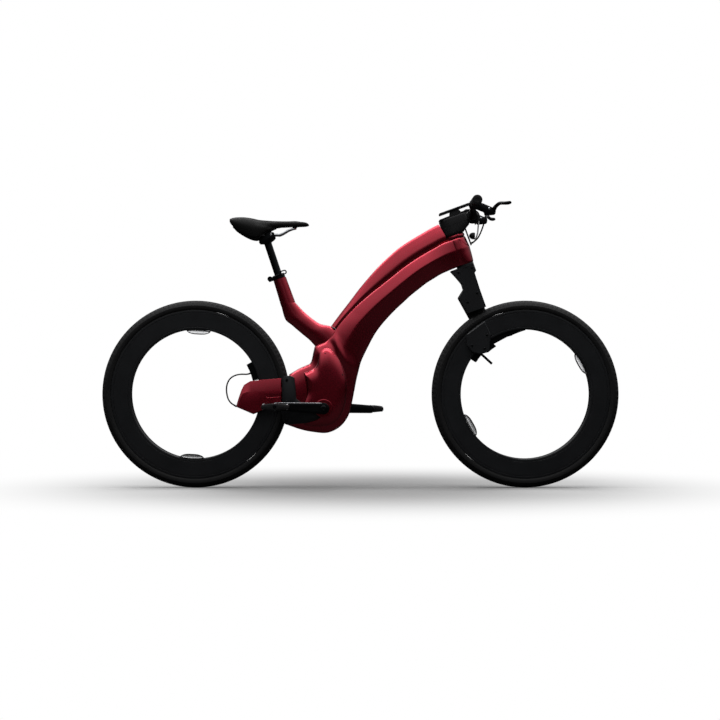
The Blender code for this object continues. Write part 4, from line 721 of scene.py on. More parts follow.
def makeRims(prefix, axle, still):
    inner, half = rim["half"] - rim["flange"], rim["half"]
    side = [(0.2350, inner), (0.2350, 0.0226), (0.2353, 0.0240), (0.2362, 0.0252), (0.2378, 0.0259),
            (0.2395, half), (0.2430, half), (0.2436, 0.0254), (0.2452, 0.0254), (0.2458, half), (0.2950, half),
            (0.2957, 0.0251), (0.2976, 0.0251), (0.2983, half), (0.3040, half), (0.3055, 0.0256),
            (0.3062, 0.0246)]
    profile = [(0.2842, inner)] + side + [(r, -y) for r, y in reversed(side)] + [(0.2842, -inner)]
    makePiece(prefix + "RimSpun", lathe(profile, 240, axle), "black_paint", prefix + "_wheel",
              (prefix + "_rim",), 22.0)
    low, high, wide = rim["opening"] + rim["ringInset"], rim["ringTop"], rim["ringHalf"]
    side = [(low + 0.0008, wide), (high - 0.0008, wide), (high, wide - 0.0008)]
    start = [(low, wide - 0.0008)]
    profile = start + side + [(r, -y) for r, y in reversed(start + side)]
    makePiece(prefix + "RingTurned", lathe(profile, 240, axle), "dark_aluminium", still,
              (prefix + "_carrier_ring",), 22.0)


makeRims("front", frontAxle, "steering")
makeRims("rear", rearAxle, "frame")

# Reflectors: a clear lens in a dark frame, clipped to the flange's inner edge
reflector = {"outer": 0.2347, "depth": 0.018, "span": 22.0, "rear": 76.0, "front": 18.0, "frame": 0.0034}


def reflectorOutline(first, inset):
    # Crescent drawn in by an inset: outer edge along the flange, inner edge bulging to the axle
    outer = reflector["outer"] - inset
    ends = math.degrees(1.4 * inset / outer)
    depth, span = reflector["depth"] - 2.0 * inset, reflector["span"] - 2.0 * ends
    outline = []
    count = 24
    for i in range(count + 1):
        a = math.radians(first + ends + span * i / count)
        outline.append((outer * math.cos(a), outer * math.sin(a)))
    for i in range(count - 1, 0, -1):
        share = abs(2.0 * i / count - 1.0)
        down = depth * max(1.0 - share ** 2.6, 0.0) ** 0.62
        a = math.radians(first + ends + span * i / count)
        outline.append(((outer - down) * math.cos(a), (outer - down) * math.sin(a)))
    return outline


def makeReflectors(prefix, axle):
    at = Matrix.Translation(axle)
    edge = reflector["frame"]
    for label, first in (("a", reflector[prefix]), ("b", reflector[prefix] + 180.0)):
        name = f"{prefix}_reflector_{label}"
        lens = loft([[(x, y, z) for x, z in reflectorOutline(first, edge + more)]
                     for y, more in ((-0.0205, 0.0), (-0.0258, 0.0), (-0.0263, 0.0005), (-0.0265, 0.0014))])
        makePiece(f"{prefix}Lens{label.upper()}", moved(lens, at), "reflector", prefix + "_wheel", (name,))
        ring = [[(x, y, z) for x, z in reflectorOutline(first, inset)]
                for inset, y in ((0.0, -0.0200), (0.0, -0.0264), (0.0004, -0.0270), (edge - 0.0004, -0.0270),
                                 (edge, -0.0264), (edge, -0.0200))]
        makePiece(f"{prefix}LensFrame{label.upper()}", moved(loft(ring, wrap=True), at), "black_plastic",
                  prefix + "_wheel")


makeReflectors("front", frontAxle)
makeReflectors("rear", rearAxle)
print("rims and reflectors made")

# Drive covers: low pressed domes with a round boss; the right one makes room for the arm
cover = {"inner": 0.0363, "thick": 0.017, "centreUp": 0.05, "bossHeight": 0.006,
         "outline": [(-0.072, 0.128), (-0.030, 0.150), (-0.012, 0.205), (0.020, 0.215), (0.060, 0.170),
                     (0.082, 0.100), (0.080, 0.030), (0.066, -0.020), (0.035, -0.055), (-0.020, -0.066),
                     (-0.075, -0.056), (-0.080, 0.000), (-0.062, 0.060)],
         # Share of the thickness, share of the outline's size
         "levels": [(0.0, 1.0), (0.12, 0.985), (0.45, 0.93), (0.75, 0.84), (0.93, 0.72), (1.0, 0.56),
                    (1.005, 0.3)]}
# In shares of the tyre's radius from the rear axle
armOutline = [(0.9305, 0.168), (0.960, 0.193), (1.010, 0.200), (1.058, 0.180), (1.072, 0.060),
              (1.078, -0.045), (1.130, -0.082), (1.300, -0.096), (1.372, -0.125), (1.372, -0.212),
              (1.300, -0.272), (1.180, -0.306), (1.050, -0.318), (0.965, -0.322), (0.930, -0.270),
              (0.915, -0.150), (0.9305, -0.086)]


def makeCovers():
    outline = rounded(cover["outline"], 6)
    top = cover["thick"] + cover["bossHeight"]
    for label, side in sides:
        loops = []
        for level, share in dense(cover["levels"], 3):
            y = side * (cover["inner"] + level * cover["thick"])
            middle = crankAxle.z + cover["centreUp"]
            loops.append([(crankAxle.x + x * share, y, middle + (z - cover["centreUp"]) * share)
                          for x, z in outline])
        piece = makePiece("driveCover" + label.capitalize(), loft(loops), "frame_paint", "frame",
                          ("drive_cover_" + label,), 40.0)
        if side < 0.0:
            room = [(rearAxle.x + x * tyreRadius, rearAxle.z + z * tyreRadius) for x, z in armOutline]
            cutWith(piece, plate(shrunk(softened(room, 0.004), -0.0007), -0.1, 0.0))
        at, out = cover["inner"], cover["inner"] + top
        boss = [(0.0116, at + 0.008), (0.0330, at + 0.008), (0.0330, out - 0.0016), (0.0325, out - 0.0004),
                (0.0314, out), (0.0296, out), (0.0289, out - 0.0009), (0.0276, out - 0.0009), (0.0269, out),
                (0.0150, out), (0.0140, out - 0.0008), (0.0116, out - 0.0008)]
        if side < 0.0:
            boss = [(radius, -y) for radius, y in boss]
        cutWith(piece, lathe(boss, 96, crankAxle), "UNION")
        cutWith(piece, lathe(rod(0.0115, -0.1, 0.1), 48, crankAxle))


makeCovers()

# Right arm: a forged black plate behind the crank
arm = [(rearAxle.x + x * tyreRadius, rearAxle.z + z * tyreRadius) for x, z in armOutline]
piece = makePiece("rightArm", plate(softened(arm, 0.004), -0.0473, -0.0363, 0.0022), "black_paint", "frame",
                  ("rear_arm_right",), 40.0)
cutWith(piece, discMesh(0.0336, -0.1, 0.0, 72, crankAxle))
bolts = [boltMesh((rearAxle.x + x, -0.0473, rearAxle.z + z), 0.0052, 0.003)
         for x, z in ((0.331, -0.093), (0.348, -0.040), (0.333, 0.052))]
makePiece("rightArmBolts", joined(*bolts), "dark_aluminium", "frame")

# Tail cover: a faceted cap over the right face of the rear wheel
tail = {"outer": [(0.149, -0.045), (0.158, -0.015), (0.168, 0.014), (0.178, 0.034), (0.200, 0.0476),
                  (0.250, 0.053), (0.312, 0.058), (0.316, 0.015), (0.3155, -0.028), (0.262, -0.052),
                  (0.212, -0.072)],
        "inner": [(0.156, -0.044), (0.164, -0.015), (0.174, 0.003), (0.186, 0.008), (0.205, 0.0105),
                  (0.250, 0.0125), (0.309, 0.0155), (0.3125, 0.010), (0.312, -0.0268), (0.261, -0.0492),
                  (0.2128, -0.0686)],
        "levels": (-0.0363, -0.0418, -0.0473)}


def makeTailCover():
    at = Matrix.Translation(rearAxle)
    low, edge, face = tail["levels"]
    loops = [[(x, low, z) for x, z in tail["outer"]], [(x, edge, z) for x, z in tail["outer"]],
             [(x, face, z) for x, z in tail["inner"]]]
    piece = makePiece("tailCap", moved(loft(loops), at), "frame_paint", "frame", ("tail_cover",), 12.0)
    groove = [(0.255, -0.0015), (0.3095, 0.0005), (0.3095, -0.0085), (0.262, -0.0125)]
    cutWith(piece, moved(plate(groove, -0.08, -0.0466), at))
    modify(piece, "BEVEL", width=0.0012, segments=3, limit_method="ANGLE", angle_limit=math.radians(14.0))


makeTailCover()
print("drive unit and tail made")

# Grips: ribbed sleeves with a lock collar and an end plug
grip = {"forward": 0.087, "up": 0.182, "start": 0.210, "end": 0.339, "radius": 0.0175, "bar": 0.0114,
        "ribs": 22}


def alongBar(mesh):
    return moved(mesh, steering @ Matrix.Translation((grip["forward"], 0.0, grip["up"])))


def makeGrips():
    r = grip["radius"]
    for label, side in sides:
        start, end = grip["start"] + 0.009, grip["end"]
        profile = [(grip["bar"], start), (r - 0.0032, start), (r - 0.0018, start + 0.0012),
                   (r - 0.0014, start + 0.006)]
        pitch = (end - start - 0.022) / grip["ribs"]
        for k in range(grip["ribs"]):
            base = start + 0.009 + pitch * k
            swell = 0.0010 * math.sin(math.pi * k / (grip["ribs"] - 1))
            top = r - 0.0010 + swell
            profile += [(top - 0.0008, base), (top, base + 0.18 * pitch), (top, base + 0.62 * pitch),
                        (top - 0.0008, base + 0.8 * pitch)]
        profile += [(r - 0.0006, end - 0.010), (r, end - 0.007), (r, end - 0.003), (r - 0.0007, end - 0.0009),
                    (r - 0.0025, end), (0.0075, end), (0.0068, end - 0.0012), (0.001, end - 0.0012),
                    (0.001, end - 0.0035), (grip["bar"], end - 0.0035)]
        collar = [(grip["bar"], start - 0.009), (r - 0.0022, start - 0.009), (r - 0.0012, start - 0.0082),
                  (r - 0.0012, start - 0.0012), (r - 0.0022, start - 0.0004), (grip["bar"], start - 0.0004)]
        if side < 0.0:
            profile = [(radius, -y) for radius, y in profile]
            collar = [(radius, -y) for radius, y in collar]
        makePiece("gripSleeve" + label.capitalize(), alongBar(lathe(profile, 56)), "grip_rubber", "steering",
                  ("grip_" + label,), 40.0)
        bolt = boltMesh((0.0, side * (start - 0.0047), -(r - 0.0020)), 0.0026, 0.0016, (0.0, 0.0, -1.0))
        makePiece("gripCollar" + label.capitalize(), alongBar(joined(lathe(collar, 56), bolt)),
                  "dark_aluminium", "steering")


makeGrips()

# Brake levers: split clamp, reservoir with its lid, and a curved blade with a ball end
lever = {"near": 0.160, "far": 0.196, "clampRadius": 0.0176,
         "body": [(0.002, 0.013), (0.030, -0.008), (0.060, -0.036), (0.065, -0.046), (0.058, -0.059),
                  (0.023, -0.050), (0.024, -0.037), (-0.004, -0.013)],
         "blade": [(0.182, 0.054, -0.045, 0.0150, 0.0150), (0.194, 0.060, -0.040, 0.0140, 0.0138),
                   (0.205, 0.066, -0.035, 0.0130, 0.0128), (0.235, 0.078, -0.031, 0.0118, 0.0118),
                   (0.265, 0.083, -0.0345, 0.0112, 0.0116), (0.285, 0.088, -0.0385, 0.0112, 0.0116),
                   (0.298, 0.094, -0.0420, 0.0118, 0.0118), (0.305, 0.101, -0.0445, 0.0128, 0.0120),
                   (0.3085, 0.1055, -0.0455, 0.0095, 0.0100)]}


def makeLevers():
    for label, side in sides:
        near, far = lever["near"], lever["far"]
        low, high = sorted((side * near, side * far))
        r = lever["clampRadius"]
        body = plate(softened(lever["body"], 0.0035, 3), low + 0.002, high - 0.002, 0.0022)
        piece = makePiece("brakeLever" + label.capitalize(), alongBar(body), "dark_aluminium", "steering",
                          ("brake_lever_" + label,), 35.0)
        cutWith(piece, alongBar(lathe(rod(r - 0.001, low - 0.02, high + 0.02), 48)))
        clamp = [(0.0114, low), (r - 0.0022, low), (r - 0.0006, low + 0.0008), (r, low + 0.0024),
                 (r, high - 0.0024), (r - 0.0006, high - 0.0008), (r - 0.0022, high), (0.0114, high)]
        addShell(piece, alongBar(lathe(clamp, 64)))
        loops = []
        for across, dx, dz, wide, tall in dense(lever["blade"], 5):
            ring = []
            for k in range(24):
                a = 2 * math.pi * k / 24
                c, s = math.cos(a), math.sin(a)
                ring.append((dx + 0.5 * wide * math.copysign(abs(c) ** 0.75, c), side * across,
                             dz + 0.5 * tall * math.copysign(abs(s) ** 0.75, s)))
            loops.append(ring)
        addShell(piece, alongBar(loft(loops)))
        middle = 0.5 * (low + high)
        bolts = [boltMesh((0.044, low + 0.002, -0.0335), 0.0042, 0.0018, (0.0, -1.0, 0.0)),
                 boltMesh((0.044, high - 0.002, -0.0335), 0.0042, 0.0018, (0.0, 1.0, 0.0)),
                 boltMesh((-0.0135, middle, 0.0095), 0.0028, 0.0022, (-0.55, 0.0, 0.83))]
        makePiece("leverBolts" + label.capitalize(), alongBar(joined(*bolts)), "bright_aluminium", "steering")


makeLevers()

# Hoses, with crimped ends
hose = {"radius": 0.0027, "crimp": 0.0033, "apart": 0.006, "start": (0.031, -0.043),
        "route": [(0.1150, 0.78, 0.1270), (0.1030, 0.55, 0.1070), (0.0910, 0.33, 0.0900),
                  (0.0765, 0.15, 0.0750)],
        # Along and up in shares of the tyre's radius from the rear axle, across in metres
        "rear": [(0.5835, 0.0, 0.2229), (0.547, -0.001, 0.2124), (0.479, -0.014, 0.212),
                 (0.418, -0.024, 0.197), (0.371, -0.034, 0.162), (0.344, -0.040, 0.106),
                 (0.338, -0.0418, 0.035), (0.353, -0.0418, -0.041), (0.382, -0.0418, -0.088),
                 (0.4212, -0.0418, -0.1162), (0.4440, -0.0418, -0.1288)]}


def makeHoses():
    thin, thick = hose["radius"], hose["crimp"]
    radii = [(0.0, thick), (0.045, thick), (0.05, thin), (0.95, thin), (0.955, thick), (1.0, thick)]
    for label, side in sides:
        x0, z0 = grip["forward"] + hose["start"][0], grip["up"] + hose["start"][1]
        begin = lever["near"] + 0.0014
        shift = max(0.0, side) * hose["apart"]
        route = [(x0, side * begin, z0), (x0, side * (begin - 0.012), z0)]
        route += [(x - shift, side * share * lever["near"], z) for x, share, z in hose["route"]]
        route += [(0.060, side * 0.008, 0.067), (0.0487, side * 0.005, 0.0655)]
        makePiece("brakeHose" + label.capitalize(), moved(tube(route, radii), steering), "hose", "steering",
                  ("brake_hose_" + label,), 50.0)
    route = [(x * tyreRadius, y, z * tyreRadius) for x, y, z in hose["rear"]]
    makePiece("rearHose", moved(tube(route, radii), Matrix.Translation(rearAxle)), "hose", "frame",
              ("rear_brake_hose",), 50.0)


makeHoses()
print("grips, levers and hoses made")

# Headlamp: finned shell with a rounded lip and a clear domed lens, level with the ground
lamp = {"foot": (0.0483, 0.0, 0.0935), "radius": 0.0125, "length": 0.023}


def makeHeadlamp():
    r, long = lamp["radius"], lamp["length"]
    profile = [(0.001, 0.0024), (0.0050, 0.0024), (0.0055, 0.0030), (0.0055, 0.0048), (r * 0.60, 0.0052)]
    for k in range(3):
        base = 0.0065 + 0.0022 * k
        wide = r * (0.80 + 0.08 * k)
        profile += [(wide, base), (wide, base + 0.0010), (wide - 0.0014, base + 0.0012),
                    (wide - 0.0014, base + 0.0020)]
    profile += [(r, 0.0135), (r, long - 0.0022), (r - 0.0007, long - 0.0008), (r - 0.0016, long),
                (r - 0.0026, long - 0.0006), (r - 0.0034, long - 0.0060), (0.001, long - 0.0060)]
    level = steering @ Matrix.Translation(lamp["foot"]) @ Matrix.Rotation(headTilt, 4, "Y")
    turn = level @ Matrix.Rotation(math.radians(-90.0), 4, "Z")
    makePiece("lampShell", moved(lathe(profile, 72), turn), "black_plastic", "steering", ("headlamp",), 30.0)
    lens = [(0.0005, long - 0.0056), (r - 0.0036, long - 0.0056), (r - 0.0030, long - 0.0022),
            (r * 0.55, long - 0.0008), (0.0005, long - 0.0002)]
    makePiece("lampLens", moved(lathe(lens, 72), turn), "reflector", "steering", (), 40.0)


makeHeadlamp()


# Handlebar: butted tube, thick in the clamp, rising to the grips
bar = {"forward": 0.087, "up": 0.154, "rise": 0.028, "thick": 0.0159, "thin": 0.0111, "half": 0.335}


def makeHandlebar():
    side = [(-bar["half"], 1.0, bar["thin"]), (-0.120, 1.0, bar["thin"]), (-0.108, 0.96, bar["thin"]),
            (-0.096, 0.80, bar["thin"]), (-0.083, 0.52, bar["thin"]), (-0.070, 0.24, bar["thin"]),
            (-0.060, 0.09, 0.0118), (-0.050, 0.01, 0.0150), (-0.045, 0.0, bar["thick"]),
            (-0.010, 0.0, bar["thick"])]
    loops = []
    for y, rise, r in side + [(-y, rise, r) for y, rise, r in reversed(side)]:
        loops.append([(bar["forward"] + r * math.cos(2 * math.pi * i / 48), y,
                       bar["up"] + rise * bar["rise"] + r * math.sin(2 * math.pi * i / 48)) for i in range(48)])
    makePiece("barBent", moved(loft(loops), steering), "dark_aluminium", "steering", ("handlebar",), 50.0)


makeHandlebar()

# Console: moulded housing with the bar clamp, its face plate and the lamp's stay
console = {"half": 0.037, "corner": 0.011, "clampRadius": 0.0239, "clampHalf": 0.022,
           # Height, share of the half width, how far the nose reaches
           "levels": [(0.1130, 0.90, 0.0345), (0.1145, 0.95, 0.0372), (0.1180, 1.0, 0.041),
                      (0.1250, 1.0, 0.0525), (0.1320, 1.0, 0.064), (0.1470, 1.0, 0.0648),
                      (0.1475, 0.985, 0.0641), (0.1485, 0.985, 0.0641), (0.1490, 1.0, 0.0649),
                      (0.1720, 1.0, 0.066), (0.1750, 0.988, 0.0655), (0.1770, 0.962, 0.0640),
                      (0.1780, 0.93, 0.0618)]}


def makeConsole():
    loops = []
    for level, share, nose in console["levels"]:
        half, corner = console["half"] * share, console["corner"]
        plan = arc(0.0, 0.0, half, 90.0, 5.0, 37)
        for start, side in ((-90.0, -1.0), (0.0, 1.0)):
            plan += arc(nose - corner, side * (half - corner), corner, start, 15.0, 7)
        loops.append([(x, y, level) for x, y in plan])
    piece = makePiece("consoleHousing", moved(loft(loops), steering), "black_plastic", "steering",
                      ("console",), 35.0)
    at = steering @ Matrix.Translation((bar["forward"], 0.0, bar["up"]))
    r, wide = console["clampRadius"], console["clampHalf"]
    clamp = [(0.001, -wide), (r - 0.002, -wide), (r - 0.0006, -wide + 0.0006), (r, -wide + 0.002),
             (r, wide - 0.002), (r - 0.0006, wide - 0.0006), (r - 0.002, wide), (0.001, wide)]
    cutWith(piece, moved(lathe(clamp, 72), at), "UNION")
    stay = softened([(0.0442, 0.135), (0.0442, 0.0585), (0.0480, 0.0585), (0.0480, 0.135)], 0.0015)
    cutWith(piece, moved(plate(stay, -0.009, 0.009), steering), "UNION")
    cutWith(piece, alongHead(turned(rod(0.0158, 0.093, 0.1445, 0.0), 64)))
    cutWith(piece, moved(lathe(rod(bar["thick"] + 0.0003, -0.08, 0.08), 48), at))
    for up in (-1.0, 1.0):
        slit = [(0.0, up * 0.0145), (0.0008, up * 0.0145), (0.0008, up * 0.03), (0.0, up * 0.03)]
        cutWith(piece, moved(plate(slit, -0.03, 0.03), at))
    bolts = [boltMesh((0.0178, y, up * 0.0136), 0.0034, 0.0028, (1.0, 0.0, 0.0)) for y in (-0.0145, 0.0145)
             for up in (-1.0, 1.0)]
    makePiece("clampBolts", moved(joined(*bolts), at), "bright_aluminium", "steering")


makeConsole()

# Display: glass panel with rounded edges in a thin raised rim
display = {"rear": -0.026, "front": 0.095, "half": 0.036, "corner": 0.009, "low": 0.1986, "high": 0.2051}


def makeDisplay():
    loops = []
    low, high = display["low"], display["high"]
    for z, inset in ((low, 0.0015), (low + 0.0005, 0.0006), (low + 0.0015, 0.0), (high - 0.0015, 0.0),
                     (high - 0.0005, 0.0005), (high, 0.0016), (high, 0.0036), (high - 0.0005, 0.0041)):
        plan = []
        corner = display["corner"] - inset
        ahead, behind = display["front"] - display["corner"], display["rear"] + display["corner"]
        aside = display["half"] - display["corner"]
        for x, y, start in ((ahead, aside, 0.0), (behind, aside, 90.0), (behind, -aside, 180.0),
                            (ahead, -aside, 270.0)):
            plan += arc(x, y, corner, start, 11.25, 9)
        loops.append([(x, y, z) for x, y in plan])
    makePiece("displayGlass", moved(loft(loops), steering), "screen", "steering", ("display_panel",), 35.0)


makeDisplay()
print("cockpit made")

# Cranks and pedals
crank = {"inner": 0.0643, "outer": 0.0793, "length": 0.170, "hub": 0.021, "end": 0.0145, "pin": 0.006}
pedal = {"inner": 0.0853, "outer": 0.1703, "half": 0.048, "thick": 0.012, "wall": 0.011, "spine": 0.014}


def makeCranks():
    for label, side, heading in (("right", -1.0, 177.5), ("left", 1.0, -2.5)):
        place = Matrix.Translation(crankAxle) @ Matrix.Rotation(math.radians(-heading), 4, "Y")
        outline = arc(crank["length"], 0.0, crank["end"], -90.0, 7.5, 25)
        outline += arc(0.0, 0.0, crank["hub"], 90.0, 7.5, 25)
        low, high = sorted((side * crank["inner"], side * crank["outer"]))
        arm = makePiece("crankForged" + label.capitalize(), moved(plate(outline, low, high, 0.0032), place),
                        "dark_aluminium", "crank", ("crank_arm_" + label,), 40.0)
        pocket = arc(0.132, 0.0, 0.0055, -90.0, 15.0, 13) + arc(0.040, 0.0, 0.0075, 90.0, 15.0, 13)
        cutWith(arm, moved(plate(pocket, *sorted((side * (crank["outer"] - 0.0016), side * 0.09))), place))
        # Bright upper edge: a brushed aluminium strip along the upper edge only, a painted highlight where the
        # top light catches it; the right arm is turned over, so its upper edge is at its own -Z
        line = [(0.006, side * (crank["outer"] - 0.0012), side * (crank["hub"] - 0.0020)),
                (0.166, side * (crank["outer"] - 0.0012), side * (crank["end"] - 0.0014))]
        edge = tube(line, [(0.0, 0.0004), (0.04, 0.0013), (0.96, 0.0013), (1.0, 0.0004)], 10, 16)
        makePiece("crankPaintedHighlight" + label.capitalize(), moved(edge, place), "bright_aluminium", "crank")
        end = pedal["outer"] - 0.004
        pin = [(0.001, side * (crank["outer"] - 0.006)), (0.0085, side * (crank["outer"] - 0.006)),
               (0.0085, side * (crank["outer"] + 0.0022)), (crank["pin"], side * (crank["outer"] + 0.0026)),
               (crank["pin"], side * end), (0.001, side * end)]
        cutWith(arm, moved(lathe(pin, 48), place @ Matrix.Translation((crank["length"], 0.0, 0.0))), "UNION")
        cutWith(arm, lathe(rod(0.0113, -0.1, 0.1), 48, crankAxle))
        cap = boltMesh((crankAxle.x, side * crank["outer"], crankAxle.z), 0.0108, 0.0032, (0.0, side, 0.0))
        makePiece("crankBolt" + label.capitalize(), cap, "dark_aluminium", "crank")
        along = math.radians(heading)
        makePedal(label, side, Vector((crankAxle.x + crank["length"] * math.cos(along), 0.0,
                                       crankAxle.z + crank["length"] * math.sin(along))))


def makePedal(label, side, pin):
    at = Matrix.Translation(pin)
    low, high = sorted((side * pedal["inner"], side * pedal["outer"]))
    half, thick, wall = pedal["half"], pedal["thick"], pedal["wall"]
    quarter = [(pedal["spine"], thick), (half * 0.8, thick * 0.8), (half, thick * 0.45)]
    upper = [(-x, z) for x, z in reversed(quarter)] + quarter
    outline = upper + [(x, -z) for x, z in reversed(upper)]
    block = plate(softened(outline, 0.003), low, high, 0.0025)
    body = makePiece("pedalMoulded" + label.capitalize(), moved(block, at), "black_plastic", label + "_pedal",
                     ("pedal_" + label,), 35.0)
    for x0, x1 in ((-half + wall, -pedal["spine"]), (pedal["spine"], half - wall)):
        hole = [(x0, low + wall), (x1, low + wall), (x1, high - wall), (x0, high - wall)]
        cutWith(body, moved(loft([[(x, y, z) for x, y in softened(hole, 0.005)] for z in (-0.03, 0.03)]), at))
    cutWith(body, moved(lathe(rod(crank["pin"] + 0.0006, -0.2, 0.2), 48), at))
    studs = []
    for x in (-half + 0.5 * wall, half - 0.5 * wall):
        for k in range(4):
            y = low + 0.010 + k * (high - low - 0.020) / 3.0
            for up in (-1.0, 1.0):
                studs.append(boltMesh((x, y, up * 0.0074), 0.0019, 0.0030, (0.0, 0.0, up)))
    for up in (-1.0, 1.0):
        for share in (0.15, 0.85):
            place = (0.0, low + share * (high - low), up * (thick - 0.0004))
            studs.append(boltMesh(place, 0.0019, 0.0022, (0.0, 0.0, up)))
    makePiece("pedalStuds" + label.capitalize(), moved(joined(*studs), at), "bright_aluminium",
              label + "_pedal")


makeCranks()
print("cranks and pedals made")

# Seatpost with its rail clamp
seat = {"radius": 0.0136, "length": 0.140, "depth": 0.150, "railUp": -0.062, "railSpacing": 0.044,
        "railRadius": 0.0035}


def makeSeatpost():
    r = seat["radius"]
    low, high, edge = -seat["depth"], seat["length"], 0.0006
    shaft = [(0.0, low), (r - edge, low), (r, low + edge), (r, high - edge), (r - edge, high), (0.0, high)]
    post = makePiece("postTurned", alongSeat(turned(shaft, 64)), "dark_aluminium", "frame", ("seatpost",), 35.0)
    x, z = mastTop.x - high * math.sin(seatTilt), mastTop.z + high * math.cos(seatTilt)
    rail, half = seat["railUp"], 0.5 * seat["railSpacing"] + seat["railRadius"] + 0.005
    head = [(x - 0.029, rail - 0.014), (x - 0.029, z - 0.0055), (x - 0.013, z - 0.0055),
            (x + 0.009, z - 0.0015), (x + 0.025, rail - 0.015), (x + 0.029, rail - 0.009),
            (x + 0.024, rail + 0.009), (x - 0.024, rail + 0.009)]
    cutWith(post, plate(softened(head, 0.003), -half, half, 0.002), "UNION")
    room = seat["railRadius"] + 0.0003
    for side in (-1.0, 1.0):
        y = side * seat["railSpacing"] / 2
        cutWith(post, moved(lathe(rod(room, -0.2, 0.2, 0.0005), 32),
                            Matrix.Translation((x, y, rail)) @ Matrix.Rotation(math.radians(90), 4, "Z")))
        split = [(x - 0.04, rail - 0.0003), (x + 0.04, rail - 0.0003), (x + 0.04, rail + 0.0003),
                 (x - 0.04, rail + 0.0003)]
        cutWith(post, plate(split, *sorted((side * 0.012, side * 0.05))))
    bolts = [boltMesh((x + shift, side * half, rail - 0.0005), 0.0042, 0.0022, (0.0, side, 0.0))
             for shift in (-0.014, 0.014) for side in (-1.0, 1.0)]
    makePiece("postBolts", joined(*bolts), "bright_aluminium", "frame")


makeSeatpost()

# Quick release: cast boss on the right with a bent loop to pull
release = {"plane": -0.0235, "thick": 0.0055, "boss": (-0.0325, 0.0092), "bossRadius": 0.0095,
           "loop": (0.0205, 0.0165), "size": (0.026, 0.017), "wire": 0.0023}


def makeRelease():
    plane, thick = release["plane"], release["thick"]
    bx, bz = release["boss"]
    r = release["bossRadius"]
    boss = [(0.001, plane - thick), (r - 0.0012, plane - thick), (r, plane - thick + 0.0012),
            (r, plane - 0.0012), (r - 0.0012, plane), (0.001, plane)]
    piece = makePiece("releaseLever", moved(lathe(boss, 48), seatTube @ Matrix.Translation((bx, 0.0, bz))),
                      "dark_aluminium", "frame", ("quick_release_lever",), 35.0)
    cx, cz = release["loop"]
    half = 0.5 * release["size"][1] - release["wire"]
    reach = 0.5 * release["size"][0] - half - release["wire"]
    y = plane - 0.5 * thick
    bend = arc(cx + reach, cz, half, -90.0, 22.5, 9) + arc(cx - reach, cz, half, 90.0, 22.5, 9)
    ring = [(x, y, z) for x, z in bend]
    wire = [(0.0, release["wire"]), (1.0, release["wire"])]
    addShell(piece, moved(tube(ring + ring[:1], wire, 16, 3), seatTube))
    arm = [(bx, y, bz), (bx + 0.012, y, bz + 0.002), (cx - reach - half - 0.006, y, cz - 0.0025),
           (cx - reach - half + 0.0005, y, cz)]
    addShell(piece, moved(tube(arm, [(0.0, 0.0024), (1.0, 0.0020)], 16, 5), seatTube))


makeRelease()

# Saddle: sewn pad over a moulded base on bent rails
saddle = {"rear": -0.0995, "padThick": 0.024, "shellWall": 0.005, "grow": 0.152 / 0.150,
          "voxel": 0.0034, "pressure": 4.0, "frames": 20, "cap": 0.0022, "capBelow": 0.0007,
          # Along from the tail, half width, drop of the top, place of the lower edge
          "stations": [(0.000, 0.050, 0.002, 0.019), (0.018, 0.066, 0.000, 0.042), (0.052, 0.075, 0.000, 0.064),
                       (0.082, 0.073, 0.004, 0.076), (0.106, 0.064, 0.009, 0.074), (0.136, 0.048, 0.011, 0.052),
                       (0.166, 0.034, 0.012, 0.037), (0.210, 0.024, 0.012, 0.033), (0.256, 0.019, 0.012, 0.032),
                       (0.278, 0.014, 0.015, 0.031), (0.287, 0.006, 0.022, 0.029)],
          "rail": [(0.158, -0.003, 0.0265), (0.172, -0.002, 0.014), (0.196, 0.0, 0.002), (0.210, 0.0, 0.0),
                   (0.230, 0.0, 0.0), (0.294, 0.0, 0.0), (0.305, 0.0, 0.0), (0.319, 0.002, 0.006),
                   (0.336, 0.006, 0.016), (0.354, 0.011, 0.0225), (0.362, 0.018, 0.0235)]}


def saddleHalf(along, half, drop, low, inset=0.0):
    # Half of the pad's outline at one station: over the top, then back under it
    h = half * saddle["grow"] - inset
    top, edge = -drop - inset, -low + inset
    deep = top - edge
    thick = min(saddle["padThick"], 0.60 * deep)
    thick += (deep - 0.0012 - thick) * smoothShare(along, 0.160, 0.195)
    over = [(0.0, top), (0.5 * h, top - 0.0015), (0.85 * h, top - 0.16 * deep), (h, top - 0.48 * deep),
            (0.97 * h, edge)]
    under = [(0.87 * h, edge), (0.77 * h, top - 0.5 * (thick + deep)), (0.5 * h, top - thick - 0.001),
             (0.0, top - thick)]
    return over, under


